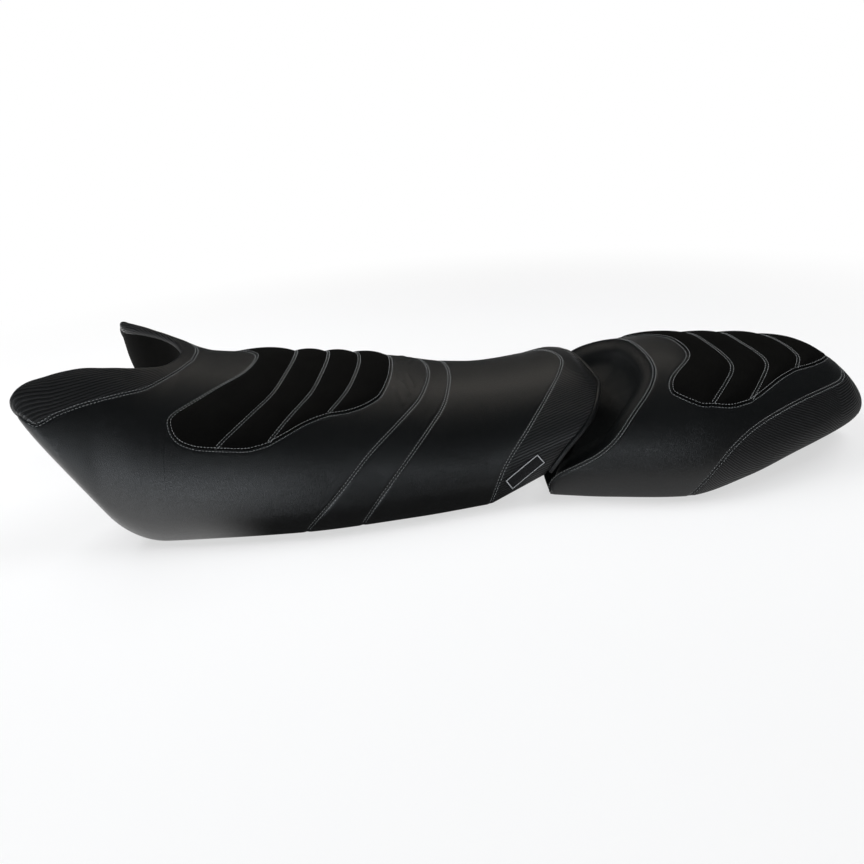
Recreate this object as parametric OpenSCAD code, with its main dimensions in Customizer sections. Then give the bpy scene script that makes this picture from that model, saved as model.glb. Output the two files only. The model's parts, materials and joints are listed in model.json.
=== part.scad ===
// Two piece saddle seat: a horned driver seat and a cupped passenger seat.
// X runs rearward, the near side is -Y, Z is up, units are millimetres.
// The origin is the middle of the whole seat on the floor it stands on.

/* [Seat] */
// full width of the driver seat at its widest place
seat_width = 476; // [460:2:492]
// height added to or taken from both crowns
crown_gain = 0; // [-6:1:6]
// gap between the lower rim and the floor, filled by the rubber feet
lift = 4; // [3:0.5:5]
// thickness of the sewn cover with its backing
cover_t = 3; // [2:0.25:3.5]
// width of the hem turned in under the pan
hem_w = 26; // [20:1:30]

/* [Pads] */
// height of the quilted pads at their middle above their edge
pad_rise = 7; // [4:0.5:9]
// thickness of the quilted pads at their edge
pad_edge = 2; // [1:0.25:3]
// diameter of the piping round the tail of the driver seat
pipe_d = 8; // [6:0.5:10]

/* [Pan] */
// wall thickness of the moulded pans
pan_t = 5; // [4:0.25:5.5]
// depth of the hardware wells in the pans
well_h = 40; // [36:1:44]

/* [Hardware] */
// diameter of the latch pins
pin_d = 8; // [6:0.5:10]
// thickness of the latch levers
lever_t = 12; // [8:1:16]
// shank diameter of the bolts
bolt_d = 6; // [5:0.25:7]
// diameter of the rubber feet
foot_d = 26; // [22:1:30]

/* [Hidden] */
$fn = 48;

wf = seat_width / 476;
gap = 0.4;
c_vinyl = "#1b1d20";
c_suede = "#0c0c0d";
c_foam = "#c9b98a";
c_pan = "#26282b";
c_steel = "#9aa0a6";
c_rubber = "#151515";

// Half widths and crown heights along the two seats, read off the photo.
front_half = [[-676, 194], [-668, 202], [-650, 209], [-620, 215], [-580, 221], [-480, 232],
    [-300, 238], [-120, 222], [0, 202], [85, 188], [160, 176], [210, 166]];
front_top = [[-676, 285], [-664, 277], [-645, 270], [-610, 268], [-575, 261], [-540, 245],
    [-510, 226], [-482, 215], [-420, 206], [-358, 200], [-250, 188], [-143, 172], [-60, 155],
    [10, 151], [90, 157], [140, 165], [165, 161], [185, 148], [204, 128]];
rear_half = [[80, 188], [180, 212], [300, 228], [400, 210], [500, 177], [580, 143], [624, 112],
    [644, 86], [652, 68]];
rear_top = [[80, 166], [200, 168], [285, 169], [330, 172], [380, 170], [440, 167], [500, 163],
    [542, 157], [594, 140], [626, 114], [642, 90], [649, 71], [651, 56], [652, 42]];
rear_tuck = [[80, 12], [300, 12], [400, 22], [500, 36], [580, 42], [632, 34], [652, 24]];

// Plan of the notch edge and of the nose seam, from the horn tip to the middle.
notch_x = [[0, -676], [1, -660], [2, -640], [3, -615], [4, -580], [5, -550], [6, -528], [7, -514], [8, -509]];
notch_y = [[0, 177], [1, 145], [2, 120], [3, 104], [4, 92], [5, 78], [6, 58], [7, 32], [8, 0]];
nose_x = [[0, -671], [1, -648], [2, -620], [3, -586], [4, -553], [5, -527], [6, -507], [7, -490], [8, -483]];
nose_y = [[0, 199], [1, 200], [2, 181], [3, 158], [4, 138.5], [5, 119], [6, 88], [7, 43], [8, 0]];
notch_plan = [for (i = [0:8]) [notch_x[i][1], notch_y[i][1] * wf]];

// Seams across a seat: place along the seat against the turn from crown 0 to rim 1.
nose_line = [[0, -483], [1, -483]];
band_a = [[0, -85], [0.24, -99], [0.43, -133], [0.63, -184], [0.82, -231], [1, -290]];
band_b = [[0, -50], [0.28, -62], [0.47, -90], [0.69, -132], [1, -205]];
bolster = [[0, 146], [0.17, 132], [0.36, 102], [0.62, 55], [0.81, 16], [1, -6]];
tail_end = [[0, 203], [0.39, 179], [0.61, 161], [0.75, 140], [0.84, 112], [1, 82]];
cup_line = [[0, 285], [0.18, 282], [0.29, 269], [0.38, 252], [0.5, 223], [0.7, 180], [0.8, 145], [1, 86]];
tail_line = [[0, 619], [0.4, 594], [0.51, 565], [0.6, 463], [0.66, 409], [0.81, 344], [1, 297]];
rear_line = [[0, 652], [1, 652]];

// Edges and channels of the quilted pads, the same way round.
pad_f = [[[0, -381], [0.08, -389], [0.2, -413], [0.34, -452], [0.41, -480], [0.6, -492]],
    [[0, -316], [0.23, -326], [0.43, -366], [0.6, -415]],
    [[0, -259], [0.23, -268], [0.41, -300], [0.6, -340]],
    [[0, -204], [0.21, -213], [0.4, -244], [0.6, -285]],
    [[0, -149], [0.08, -150], [0.23, -159], [0.34, -176], [0.45, -205]]];
pad_r = [[[0, 352], [0.11, 349], [0.19, 334], [0.26, 305], [0.32, 290], [0.39, 286], [0.55, 300]],
    [[0, 398], [0.13, 401], [0.25, 403], [0.38, 375], [0.51, 337], [0.6, 315]],
    [[0, 455], [0.25, 463], [0.4, 432], [0.54, 396], [0.6, 380]],
    [[0, 526], [0.2, 526], [0.35, 501], [0.5, 470]],
    [[0, 602], [0.11, 596], [0.2, 585], [0.27, 574], [0.36, 545]]];
// Lower edge of each pad piece, from its front seam 0 to its rear seam 1.
low_f = [[[0, 0.44], [0.15, 0.515], [0.35, 0.555], [0.7, 0.58], [1, 0.585]],
    [[0, 0.585], [0.6, 0.59], [1, 0.565]],
    [[0, 0.565], [0.3, 0.51], [0.6, 0.45], [1, 0.405]],
    [[0, 0.405], [0.5, 0.385], [0.8, 0.35], [1, 0.29]]];
low_r = [[[0, 0.4], [0.3, 0.465], [0.7, 0.505], [1, 0.51]],
    [[0, 0.51], [0.6, 0.535], [1, 0.525]],
    [[0, 0.525], [0.25, 0.475], [0.6, 0.4], [1, 0.345]],
    [[0, 0.345], [0.5, 0.315], [0.8, 0.26], [1, 0.17]]];

// Smooth curve through a short table, level outside it, without overshoot.
function place(t, x, i = 0) = i >= len(t) - 2 || x < t[i + 1][0] ? i : place(t, x, i + 1);
function rise(t, i) = (t[i + 1][1] - t[i][1]) / (t[i + 1][0] - t[i][0]);
function lean(t, i) = i == 0 ? rise(t, 0) : i == len(t) - 1 ? rise(t, i - 1) :
    rise(t, i - 1) * rise(t, i) <= 0 ? 0 :
    2 * rise(t, i - 1) * rise(t, i) / (rise(t, i - 1) + rise(t, i));
function blend(p, q, m, n, h, s) = (2 * s * s * s - 3 * s * s + 1) * p + (s * s * s - 2 * s * s + s) * h * m
    + (3 * s * s - 2 * s * s * s) * q + (s * s * s - s * s) * h * n;
function curve(t, u) = let (x = min(max(u, t[0][0]), t[len(t) - 1][0]), i = place(t, x),
    h = t[i + 1][0] - t[i][0])
    blend(t[i][1], t[i + 1][1], lean(t, i), lean(t, i + 1), h, (x - t[i][0]) / h);

// The same for a seam that crosses the crown, square to the seat's length there.
function seam(t, u) = u >= t[1][0] ? curve(t, u) :
    blend(t[0][1], t[1][1], 0, lean(t, 1), t[1][0], u / t[1][0]);

// Lower rim of each seat in side view: a raked nose and a cut away tail, and a rising rear.
nose_r = 90;
nose_rake = 1.82;
nose_c = -505;
nose_k = -583.9;
function base(k, x) = lift + (k == 1 ? max(0, (x - 300) * 0.1) :
    x < nose_k ? 46.6 + (nose_k - x) * nose_rake :
    x < nose_c ? nose_r - sqrt(nose_r * nose_r - (x - nose_c) * (x - nose_c)) : max(0, (x + 5) * 0.42));
function base_up(k, x) = let (m = base(k, x + 2) - base(k, x - 2)) [-m, 0, 4] / sqrt(m * m + 16);
function half(k, x) = curve(k == 0 ? front_half : rear_half, x) * wf;
function top(k, x) = curve(k == 0 ? front_top : rear_top, x) + lift + crown_gain;

function tuck(k, x) = k == 0 ? 12 : curve(rear_tuck, x);

// A point of the covered surface: turn a is 0 at the crown and 1 at the near rim.
function skin(k, x, a) = let (b = half(k, x), z = base(k, x), h = max(1, top(k, x) - z), t = abs(a) * 90,
    y = b * pow(sin(t), 2 / 2.2), v = h * pow(cos(t), 2 / 2.4), w = max(0, 1 - v / min(k == 0 ? 45 : 60, h)))
    [x, a == 0 ? 0 : -sign(a) * (y - tuck(k, x) * min(1, h / 60) * w * w), z + v];
function turn_at(k, x, y) = asin(pow(min(1, y / half(k, x)), 1.1)) / 90;
function unit(v) = v / norm(v);
function facing(k, x, a) = unit(cross(skin(k, x, min(1, a + 0.004)) - skin(k, x, a - 0.004),
    skin(k, x + 0.5, a) - skin(k, x - 0.5, a)));
function notch_at(x) = x > -509 ? 0 : lookup(x, notch_plan);
function hem_at(k, x) = let (y = -skin(k, x, 1).y)
    min(hem_w, 0.4 * (k == 0 ? y - notch_at(x) : y));
// The same surface moved out by d; turn 1 is the rim corner and turn 2 the hem edge.
function off(k, x, a, d) = a == 2 ? skin(k, x, 1) + [0, hem_at(k, x), 0] - d * base_up(k, x) :
    a == 1 ? skin(k, x, 1) + [0, -d, 0] - d * base_up(k, x) : skin(k, x, a) + d * facing(k, x, a);

rows = [2, 1, 0.96, 0.9, 0.8, 0.7, 0.6, 0.5, 0.4, 0.3, 0.2, 0.1, 0];
function mid(a) = min(a, 1);
function between(p, q, a, s) = seam(p, mid(a)) + (seam(q, mid(a)) - seam(p, mid(a))) * s;
function strip(k, p, q, ss, d) = [for (s = ss) [for (a = rows) off(k, between(p, q, a, s), a, d)]];
function steps(n, e) = [for (i = [0:n]) i == 0 ? e : i == n ? 1 - e : i / n];
function nose_turn(i) = turn_at(0, nose_x[i][1], nose_y[i][1] * wf);
function below(i, a) = a >= 1 ? a : nose_turn(i) + (1 - nose_turn(i)) * a;
function nose_side(d) = [for (i = [0:8]) [for (a = rows) off(0, nose_x[i][1], below(i, a), d)]];

// Triangles: faces are listed clockwise seen from outside, the far half is the near half mirrored.
function area(t) = norm(cross(t[1] - t[0], t[2] - t[0]));
function kept(t) = [for (f = t) if (area(f) > 0.0001) f];
function quad(a, b, c, d) = [[a, b, c], [a, c, d]];
function sheet(g) = [for (i = [0:len(g) - 2]) for (j = [0:len(g[0]) - 2])
    each quad(g[i][j], g[i][j + 1], g[i + 1][j + 1], g[i + 1][j])];
function back(t) = [for (f = t) [f[0], f[2], f[1]]];
function far(p) = [p.x, p.y == 0 ? 0 : -p.y, p.z];
function both(t) = [each t, each [for (f = t) [far(f[0]), far(f[2]), far(f[1])]]];
// A sheet with thickness: g outside, h inside, walls on the first and last line, the low row and
// on the first n pieces of the high row.
function slab(g, h, first, last, n) = let (e = len(g) - 1, m = len(g[0]) - 1)
    [each sheet(g), each back(sheet(h)),
    each [for (j = [0:m - 1]) if (first) each quad(g[0][j + 1], g[0][j], h[0][j], h[0][j + 1])],
    each [for (j = [0:m - 1]) if (last) each quad(g[e][j], g[e][j + 1], h[e][j + 1], h[e][j])],
    each [for (i = [0:e - 1]) each quad(g[i][0], g[i + 1][0], h[i + 1][0], h[i][0])],
    each [for (i = [0:e - 1]) if (i < n) each quad(g[i + 1][m], g[i][m], h[i][m], h[i + 1][m])]];
// Half the difference between the nose and the tail overhang, which centres the whole seat.
x_mid = 12;
module placed() {
    translate([x_mid, 0, 0]) children();
}
module solid(t) {
    f = kept(t);
    polyhedron(points = [for (q = f) for (p = q) p],
        faces = [for (i = [0:len(f) - 1]) [3 * i, 3 * i + 1, 3 * i + 2]]);
}
module panel(k, p, q, n) {
    ss = steps(n, 0.004);
    solid(both(slab(strip(k, p, q, ss, 0), strip(k, p, q, ss, -cover_t), true, true, 0)));
}

// Driver seat cover.
function nose_plan(i, s, m) = let (n = notch_in(i, m))
    [nose_x[i][1] + (n.x - nose_x[i][1]) * s, nose_y[i][1] * wf + (n.y - nose_y[i][1] * wf) * s];
function notch_dir(i) = i == 8 ? [1, 0] : let (u = [curve(notch_x, i + 0.1) - curve(notch_x, i - 0.1),
    (curve(notch_y, i + 0.1) - curve(notch_y, i - 0.1)) * wf]) unit([-u.y, u.x]);
function notch_in(i, m) = [notch_x[i][1], notch_y[i][1] * wf] + m * notch_dir(i);
function nose_grid(d, m, e) = [for (i = [0:8]) [for (s = [e, 0.33, 0.67, 1])
    let (p = nose_plan(i, s, m)) off(0, p.x, p.y == 0 ? 0 : turn_at(0, p.x, p.y), d)]];
// Keeps the inner side of a cover within the two ends of the seat.
function held(g) = [for (r = g) [for (p = r) [min(max(p.x, -674), 650), p.y, p.z]]];
module front_nose_panel() {
    color(c_vinyl) placed()
        solid(both(slab(nose_grid(0, 0, 0.02), held(nose_grid(-cover_t, 0, 0.02)), true, false, 8)));
}
function notch_wall(m) = [for (i = [0:8]) let (p = notch_in(i, m), a = p.y == 0 ? 0 : turn_at(0, p.x, p.y),
    z = skin(0, p.x, a).z - (cover_t + 0.8) / facing(0, p.x, a).z - (i < 2 ? 1.1 : 0.3),
    b = base(0, p.x) + 0.3)
    [for (s = [0, 0.5, 1]) [p.x, p.y == 0 ? 0 : -p.y, z + (max(b, base(0, notch_x[i][1]) + 0.3) - z) * s]]];
module front_notch_panel() {
    color(c_vinyl) placed() solid(both(slab(notch_wall(0), notch_wall(cover_t), true, false, 8)));
}
main_n = 12;
function main_grid(d) = [each nose_side(d), each [for (i = [1:main_n])
    [for (a = rows) off(0, between(nose_line, band_a, a, min(i / main_n, 0.999)), a, d)]]];
module front_main_panel() {
    color(c_vinyl) placed() solid(both(slab(main_grid(0), main_grid(-cover_t), true, true, 8)));
}
module front_band_panel() {
    color(c_vinyl) placed() panel(0, band_a, band_b, 2);
}
module front_saddle_panel() {
    color(c_vinyl) placed() panel(0, band_b, bolster, 5);
}
module front_bolster_panel() {
    color(c_vinyl) placed() panel(0, bolster, tail_end, 5);
}

// Closing faces at the tail of the driver seat and in the cup of the passenger seat.
turns = [1, 0.96, 0.9, 0.8, 0.7, 0.6, 0.5, 0.4, 0.3, 0.2, 0.1, 0];
function edge_loop(k, t, s) = [for (a = turns) off(k, seam(t, a) + s, a, 0)];
function face_loop(k, t, up) = let (e = edge_loop(k, t, 0), b = e[0] + [0, 0, up])
    [[b.x, 0, b.z], b, each [for (i = [1:len(e) - 1]) e[i]]];
function dish(c, q, s, bow, d, m) = [for (p = c) let (v = q + (p - q) * s + d * (bow * 4 * s * (1 - s) + m))
    [v.x, p.y == 0 ? 0 : v.y, v.z]];
end_q = [112, 0, 74 + lift];
end_d = [-0.6, 0, 0.8];
end_s = [0.93, 0.7, 0.4, 0.02];
cup_s = [0.95, 0.7, 0.4, 0.02];
function end_grid(m) = [for (s = end_s) dish(face_loop(0, tail_end, 0), end_q, s, 6, end_d, m)];
module front_end_panel() {
    color(c_vinyl) placed() solid(both(lid(end_grid(0), end_grid(cover_t))));
}
// A dished lid: rings g outside and h inside, closed at the first ring and at its middle.
function lid(g, h) = let (e = len(g) - 1, m = len(g[0]) - 1) [each back(sheet(g)), each sheet(h),
    each [for (j = [0:m - 1]) each quad(g[0][j], g[0][j + 1], h[0][j + 1], h[0][j])],
    each [for (j = [0:m - 1]) each quad(g[e][j + 1], g[e][j], h[e][j], h[e][j + 1])]];
cup_q = [192, 0, 74 + lift];
cup_d = [0.66, 0, -0.75];
function cup_grid(m) = [for (s = cup_s) dish(face_loop(1, cup_line, 12), cup_q, s, 8, cup_d, m)];
module rear_cup_panel() {
    color(c_vinyl) placed() solid(both(back(lid(cup_grid(0), cup_grid(cover_t)))));
}

// Piping laid along the tail edge.
function pipe_mid(a) = off(0, seam(tail_end, abs(a)), a, 0) + [0.62, 0, -0.78] * (pipe_d / 2 + 1);
function pipe_ring(a) = let (c = pipe_mid(a), u = unit(pipe_mid(a - 0.02) - pipe_mid(min(a + 0.02, 0.999))),
    n = unit(cross(u, [0.78, 0, 0.62])), m = cross(n, u)) [for (i = [0:5])
    let (p = c + pipe_d / 2 * (cos(60 * i) * m + sin(60 * i) * n)) [p.x, a == 0 ? 0 : p.y, p.z]];
function tube(r) = let (e = len(r) - 1, m = len(r[0])) [
    each [for (i = [0:e - 1]) for (j = [0:m - 1]) let (k = (j + 1) % m)
        each quad(r[i][j], r[i][k], r[i + 1][k], r[i + 1][j])],
    each [for (j = [1:m - 2]) [r[0][0], r[0][j + 1], r[0][j]]]];
module front_piping() {
    turns_used = [0.97, 0.9, 0.84, 0.78, 0.7, 0.6, 0.5, 0.4, 0.3, 0.2, 0.1, 0];
    color(c_vinyl) placed() solid(both(tube([for (a = turns_used) pipe_ring(a)])));
}

// Quilted pads: crowned pieces lying on the cover with a channel between neighbours.
pad_s = [0.03, 0.1, 0.25, 0.5, 0.75, 0.9, 0.97];
pad_t = [1, 0.97, 0.88, 0.7, 0.5, 0.25, 0];
pad_gap = [[1.5, 1.5, 1.2, 0.7], [0.9, 1, 0.7, 0.7]];
function pad_grid(k, lines, low, i, full) = [for (s = pad_s) [for (r = pad_t)
    let (a = r * curve(low[i], s), x = between(lines[i], lines[i + 1], a, s),
    e = (1 - pow(abs((s - 0.5) / 0.47), 4)) * (1 - pow(r, 10)))
    off(k, x, a, pad_gap[k][i] + (full ? pad_edge + pad_rise * e : 0))]];
module pad(k, lines, low, i) {
    over = pad_grid(k, lines, low, i, true);
    under = pad_grid(k, lines, low, i, false);
    color(c_suede) placed() solid(both(slab(over, under, true, true, 0)));
}
module front_pad_1() {
    pad(0, pad_f, low_f, 0);
}
module front_pad_2() {
    pad(0, pad_f, low_f, 1);
}
module front_pad_3() {
    pad(0, pad_f, low_f, 2);
}
module front_pad_4() {
    pad(0, pad_f, low_f, 3);
}
module rear_pad_1() {
    pad(1, pad_r, low_r, 0);
}
module rear_pad_2() {
    pad(1, pad_r, low_r, 1);
}
module rear_pad_3() {
    pad(1, pad_r, low_r, 2);
}
module rear_pad_4() {
    pad(1, pad_r, low_r, 3);
}
// A bare woven tag sewn to the near side of the bolster.
function tag_grid(d) = [for (s = [0, 0.33, 0.67, 1]) [for (t = [0, 0.5, 1])
    off(0, 30 + 49 * s - 11 * t, 0.97 - 0.08 * s - 0.085 * t, d)]];
module sewn_tag() {
    color("#3a3c40") placed() solid(slab(tag_grid(1.9), tag_grid(0.9), true, true, 9));
}

// Foam cores: closed rings of points joined from line to line, with a well for the hardware.
foam_rows = [0.8, 0.7, 0.6, 0.5, 0.4, 0.3, 0.2, 0.1, 0];
fd = cover_t + 1;
nd = cover_t + 4;
floor_d = cover_t + pan_t + 2 * gap;
well_f = 122;
well_r = 104;
function low_point(k, x, d) = let (p = skin(k, x, 1)) p + [0, fd, 0] + d * base_up(k, x);
function deep(k, x) = k == 0 ? x > ends_f[0] - 16 && x < ends_f[1] + 40 :
    x > ends_r[0] - 36 && x < ends_r[1] + 73;
function foam_line(k, p, q, s) = let (x = between(p, q, 1, s), b = low_point(k, x, floor_d),
    w = min(k == 0 ? well_f : well_r, -0.68 * b.y), z = b.z + (deep(k, x) ? well_h + 0.6 : 0))
    [b, each [for (a = foam_rows) off(k, between(p, q, a, s), a, -fd)],
    [b.x, 0, z], [b.x, 1 - w, z], [b.x, -w, b.z]];
function horn_line(i) = let (n = notch_in(i, nd), d = i < 3 ? cover_t + 2 * gap : floor_d + (i < 7 ? 3 : 0))
    [low_point(0, nose_x[i][1], d), each [for (a = foam_rows) off(0, nose_x[i][1], below(i, a), -fd)],
    each [for (s = [0.33, 0.67, 1]) let (p = nose_plan(i, s, nd))
        off(0, p.x, p.y == 0 ? 0 : turn_at(0, p.x, p.y), -fd)],
    [n.x + d * base_up(0, n.x).x, n.y == 0 ? 0 : -n.y, base(0, n.x) + d * base_up(0, n.x).z]];
function ring_join(g, m, skip) = [for (i = [0:len(g) - 2]) for (j = [0:m - 1]) if (j != skip)
    each quad(g[i][j], g[i][(j + 1) % m], g[i + 1][(j + 1) % m], g[i + 1][j])];
module front_foam() {
    horn = [for (i = [1:8]) horn_line(i)];
    h = len(horn[0]);
    body = [for (i = [0:main_n - 1]) foam_line(0, nose_line, band_a, i / main_n),
        for (i = [0:1]) foam_line(0, band_a, band_b, i / 2),
        for (i = [0:4]) foam_line(0, band_b, bolster, i / 5),
        for (i = [0:4]) foam_line(0, bolster, tail_end, i / 5)];
    m = len(body[0]);
    crown = len(foam_rows);
    last = body[len(body) - 1];
    q = end_q + end_d * 12;
    rings = [last, for (s = [0.6, 0.3]) dish(last, q, s, 6, end_d, 0)];
    tip = horn[0];
    n = horn[7][h - 1];
    color(c_foam) placed() solid(both([each ring_join(horn, h, -1), each ring_join(body, m, crown),
        each [for (j = [0:h - 3]) [tip[h - 1], tip[j + 1], tip[j]]],
        [n, body[0][0], body[0][m - 1]], [n, body[0][m - 1], body[0][m - 2]],
        [n, body[0][m - 2], body[0][m - 3]],
        each ring_join(rings, m, crown),
        each [for (j = [0:m - 1]) if (j != crown) [rings[2][j], rings[2][(j + 1) % m], q]]]));
}
module rear_foam() {
    body = [foam_line(1, cup_line, tail_line, 0.05),
        for (i = [1:5]) foam_line(1, cup_line, tail_line, i / 6),
        for (s = [0, 0.2, 0.4, 0.6, 0.78]) foam_line(1, tail_line, rear_line, s)];
    m = len(body[0]);
    crown = len(foam_rows);
    last = body[len(body) - 1];
    q = cup_q + cup_d * 8;
    rings = [for (s = [0.3, 0.6]) dish(body[0], q, s, 8, cup_d, 0), body[0]];
    e = [last[crown].x, 0, (last[0].z + last[crown].z) / 2];
    color(c_foam) placed() solid(both([each ring_join(body, m, crown), each ring_join(rings, m, crown),
        each [for (j = [0:m - 1]) if (j != crown) [rings[0][(j + 1) % m], rings[0][j], q]],
        each [for (j = [0:m - 1]) if (j != crown) [last[j], last[(j + 1) % m], e]]]));
}

// Passenger seat cover.
module rear_main_panel() {
    color(c_vinyl) placed() panel(1, cup_line, tail_line, 6);
}
tail_s = [0.003, 0.2, 0.4, 0.6, 0.78, 0.9, 0.97, 1];
module rear_tail_panel() {
    color(c_vinyl) placed() solid(both(slab(strip(1, tail_line, rear_line, tail_s, 0),
        held(strip(1, tail_line, rear_line, tail_s, -cover_t)), true, true, 0)));
}

// Pans: a plate that follows the rim with a well for the hardware and true holes.
zb = lift + cover_t + gap;
zw = zb + well_h;
function profile(k, xs, d) = [for (x = xs) let (p = [x, 0, base(k, x)] + d * base_up(k, x)) [p.x, p.z]];
function outline(k, xs) = [for (x = xs) [x, skin(k, x, 1).y + cover_t + 2.2]];
module plate(k, xs) {
    up = profile(k, xs, cover_t + gap + pan_t);
    down = profile(k, xs, cover_t + gap);
    side = outline(k, xs);
    n = len(xs) - 1;
    intersection() {
        rotate([90, 0, 0]) linear_extrude(600, center = true)
            polygon([each down, each [for (i = [0:n]) up[n - i]]]);
        linear_extrude(400) polygon([each side, each [for (i = [0:n]) [side[n - i].x, -side[n - i].y]]]);
    }
}
module well_room(e, w, z, h) {
    translate([e[0] + pan_t, -w + pan_t, z]) cube([e[1] - e[0] - 2 * pan_t, 2 * (w - pan_t), h]);
}
module well(e, w) {
    difference() {
        translate([e[0], -w, zb]) cube([e[1] - e[0], 2 * w, well_h + pan_t]);
        well_room(e, w, zb - 1, well_h + 1);
    }
}
module holes(ps, d, z, h) {
    for (p = ps) translate([p.x, p.y, z]) cylinder(d = d, h = h);
}
front_xs = [-586, -553, -527, -507, -483, -440, -370, -300, -200, -100, -5, 30, 70];
rear_xs = [104, 150, 200, 250, 300, 360, 420, 480, 540, 590, 620, 640];
feet_f = [for (p = [[-440, 165], [-60, 152]]) for (s = [-1, 1]) [p.x, s * p.y * wf]];
feet_r = [for (p = [[128, 138], [270, 150]]) for (s = [-1, 1]) [p.x, s * p.y * wf]];
latch_f = [-200, 0];
latch_r = [280, 0];
// Ends of the two hardware wells, in front of and behind each latch pin.
ends_f = [latch_f.x - 192, latch_f.x + 148];
ends_r = [latch_r.x - 53, latch_r.x + 67];
tongue_f = [-430, 0];
tongue_r = [150, 0];
bolts_plate_f = [[-452, -18], [-452, 18], [-412, -18], [-412, 18]];
bolts_plate_r = [[114, -18], [114, 18]];
bolts_keeper = [[42, -41], [42, 41]];
function latch_bolts(c) = [for (sx = [-1, 1]) for (sy = [-1, 1]) [c.x + sx * 26, sy * 34]];
foot_stem = 8;
module front_pan() {
    color(c_pan) placed() difference() {
        union() {
            difference() {
                plate(0, front_xs);
                well_room(ends_f, well_f - 4, zb - 5, 40);
            }
            well(ends_f, well_f - 4);
        }
        linear_extrude(300) polygon([each [for (i = [2:8]) let (p = notch_in(i, cover_t + gap)) [p.x, -p.y]],
            each [for (i = [7:-1:2]) notch_in(i, cover_t + gap)],
            [-700, notch_y[2][1]], [-700, -notch_y[2][1]]]);
        holes(feet_f, foot_stem + 0.6, zb - 1, pan_t + 2);
        holes(bolts_plate_f, bolt_d + 0.4, zb - 1, pan_t + 2);
        holes(latch_bolts(latch_f), bolt_d + 0.4, zw - 1, pan_t + 2);
        holes(bolts_keeper, bolt_d + 0.4, zb + 5, 40);
    }
}
module rear_pan() {
    color(c_pan) placed() difference() {
        union() {
            difference() {
                plate(1, rear_xs);
                well_room(ends_r, well_r - 4, zb - 5, 40);
            }
            well(ends_r, well_r - 4);
        }
        holes(feet_r, foot_stem + 0.6, zb - 1, pan_t + 2);
        holes(bolts_plate_r, bolt_d + 0.4, zb - 1, pan_t + 2);
        holes(latch_bolts(latch_r), bolt_d + 0.4, zw - 1, pan_t + 2);
    }
}

// Rubber feet, staples, bolts, locating tongues and latches.
module feet(ps) {
    color(c_rubber) placed() for (p = ps) translate([p.x, p.y, 0]) {
        cylinder(d = foot_d, h = zb - 0.2);
        cylinder(d = foot_stem, h = zb + pan_t - 0.2);
    }
}
module staples(k, xs) {
    color(c_steel) placed() for (x = xs) for (s = [-1, 1])
        translate([x - 5.5, s * (skin(k, x, 1).y + hem_w / 2) - 0.6, lift - 0.9]) cube([11, 1.2, 0.9]);
}
module bolts(ps, z, h) {
    color(c_steel) placed() for (p = ps) translate([p.x, p.y, z]) {
        cylinder(d = bolt_d, h = h);
        translate([0, 0, -2]) cylinder(d = bolt_d * 1.9, h = 2);
    }
}
plate_t = 2.4;
module front_feet() {
    feet(feet_f);
}
module rear_feet() {
    feet(feet_r);
}
module front_staples() {
    staples(0, [-470:40:-30]);
}
module rear_staples() {
    staples(1, [112:30:292]);
}
module front_bolts() {
    bolts(bolts_plate_f, zb - plate_t - 0.2, plate_t + pan_t);
    bolts(latch_bolts(latch_f), zw - plate_t - 0.2, plate_t + pan_t);
    bolts(bolts_keeper, zb + 2.4, base(0, 42) + (cover_t + gap + pan_t) * 1.08 - zb - 3.4);
}
module rear_bolts() {
    bolts(bolts_plate_r, zb - plate_t - 0.2, plate_t + pan_t);
    bolts(latch_bolts(latch_r), zw - plate_t - 0.2, plate_t + pan_t);
}
module front_tongue() {
    color(c_steel) placed() translate([0, 0, zb - plate_t - 0.2]) difference() {
        linear_extrude(plate_t) polygon([[-502, -14], [-490, -24], [-470, -30], [-396, -30],
            [-396, 30], [-470, 30], [-490, 24], [-502, 14]]);
        holes(bolts_plate_f, bolt_d + 0.4, -1, plate_t + 2);
    }
}
// Keeper under the tail of the driver seat; the passenger seat's tongue runs in its slot.
module front_keeper() {
    floor_z = zb - plate_t - 2.6;
    under = profile(0, [22, 62], cover_t + gap - 0.2);
    color(c_pan) placed() difference() {
        rotate([90, 0, 0]) linear_extrude(104, center = true)
            polygon([[22, floor_z], [62, floor_z], [62, under[1].y - 0.3], [22, under[0].y - 0.3]]);
        translate([10, -30.4, zb - plate_t - 0.6]) cube([60, 60.8, plate_t + 0.8]);
        holes(bolts_keeper, bolt_d + 0.4, 0, 60);
        holes(bolts_keeper, bolt_d * 1.9 + 0.8, 0, zb + 2.6);
    }
}
module rear_tongue() {
    color(c_steel) placed() translate([0, 0, zb - plate_t - 0.2]) difference() {
        linear_extrude(plate_t) polygon([[44, -20], [52, -28], [126, -30], [126, 30], [52, 28], [44, 20]]);
        holes(bolts_plate_r, bolt_d + 0.4, -1, plate_t + 2);
    }
}
pin_z = zw - 22;
cheek = lever_t / 2 + 3;
module bracket(c) {
    color(c_steel) placed() difference() {
        translate([c.x, 0, 0]) union() {
            translate([-36, -44, zw - plate_t - 0.2]) cube([72, 88, plate_t]);
            for (s = [-1, 1]) translate([-16, s * (cheek + 1.5) - 1.5, zw - 34])
                cube([32, 3, 34 - plate_t / 2]);
        }
        translate([c.x, 0, pin_z]) rotate([90, 0, 0]) cylinder(d = pin_d, h = 100, center = true);
        holes(latch_bolts(c), bolt_d + 0.4, zw - 20, 40);
    }
}
module lever(c) {
    color(c_steel) placed() translate([c.x, 0, pin_z]) rotate([90, 0, 0]) difference() {
        union() {
            cylinder(d = pin_d + 10, h = lever_t, center = true);
            linear_extrude(lever_t, center = true) polygon([[-6, 4], [-9, -2], [-9, -13], [-20, -13],
                [-22, -17], [-4, -18], [2, -14], [7, -6], [44, -9], [52, -7], [52, -1], [44, 0], [6, 6]]);
        }
        cylinder(d = pin_d + 0.7, h = lever_t + 2, center = true);
    }
}
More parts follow.
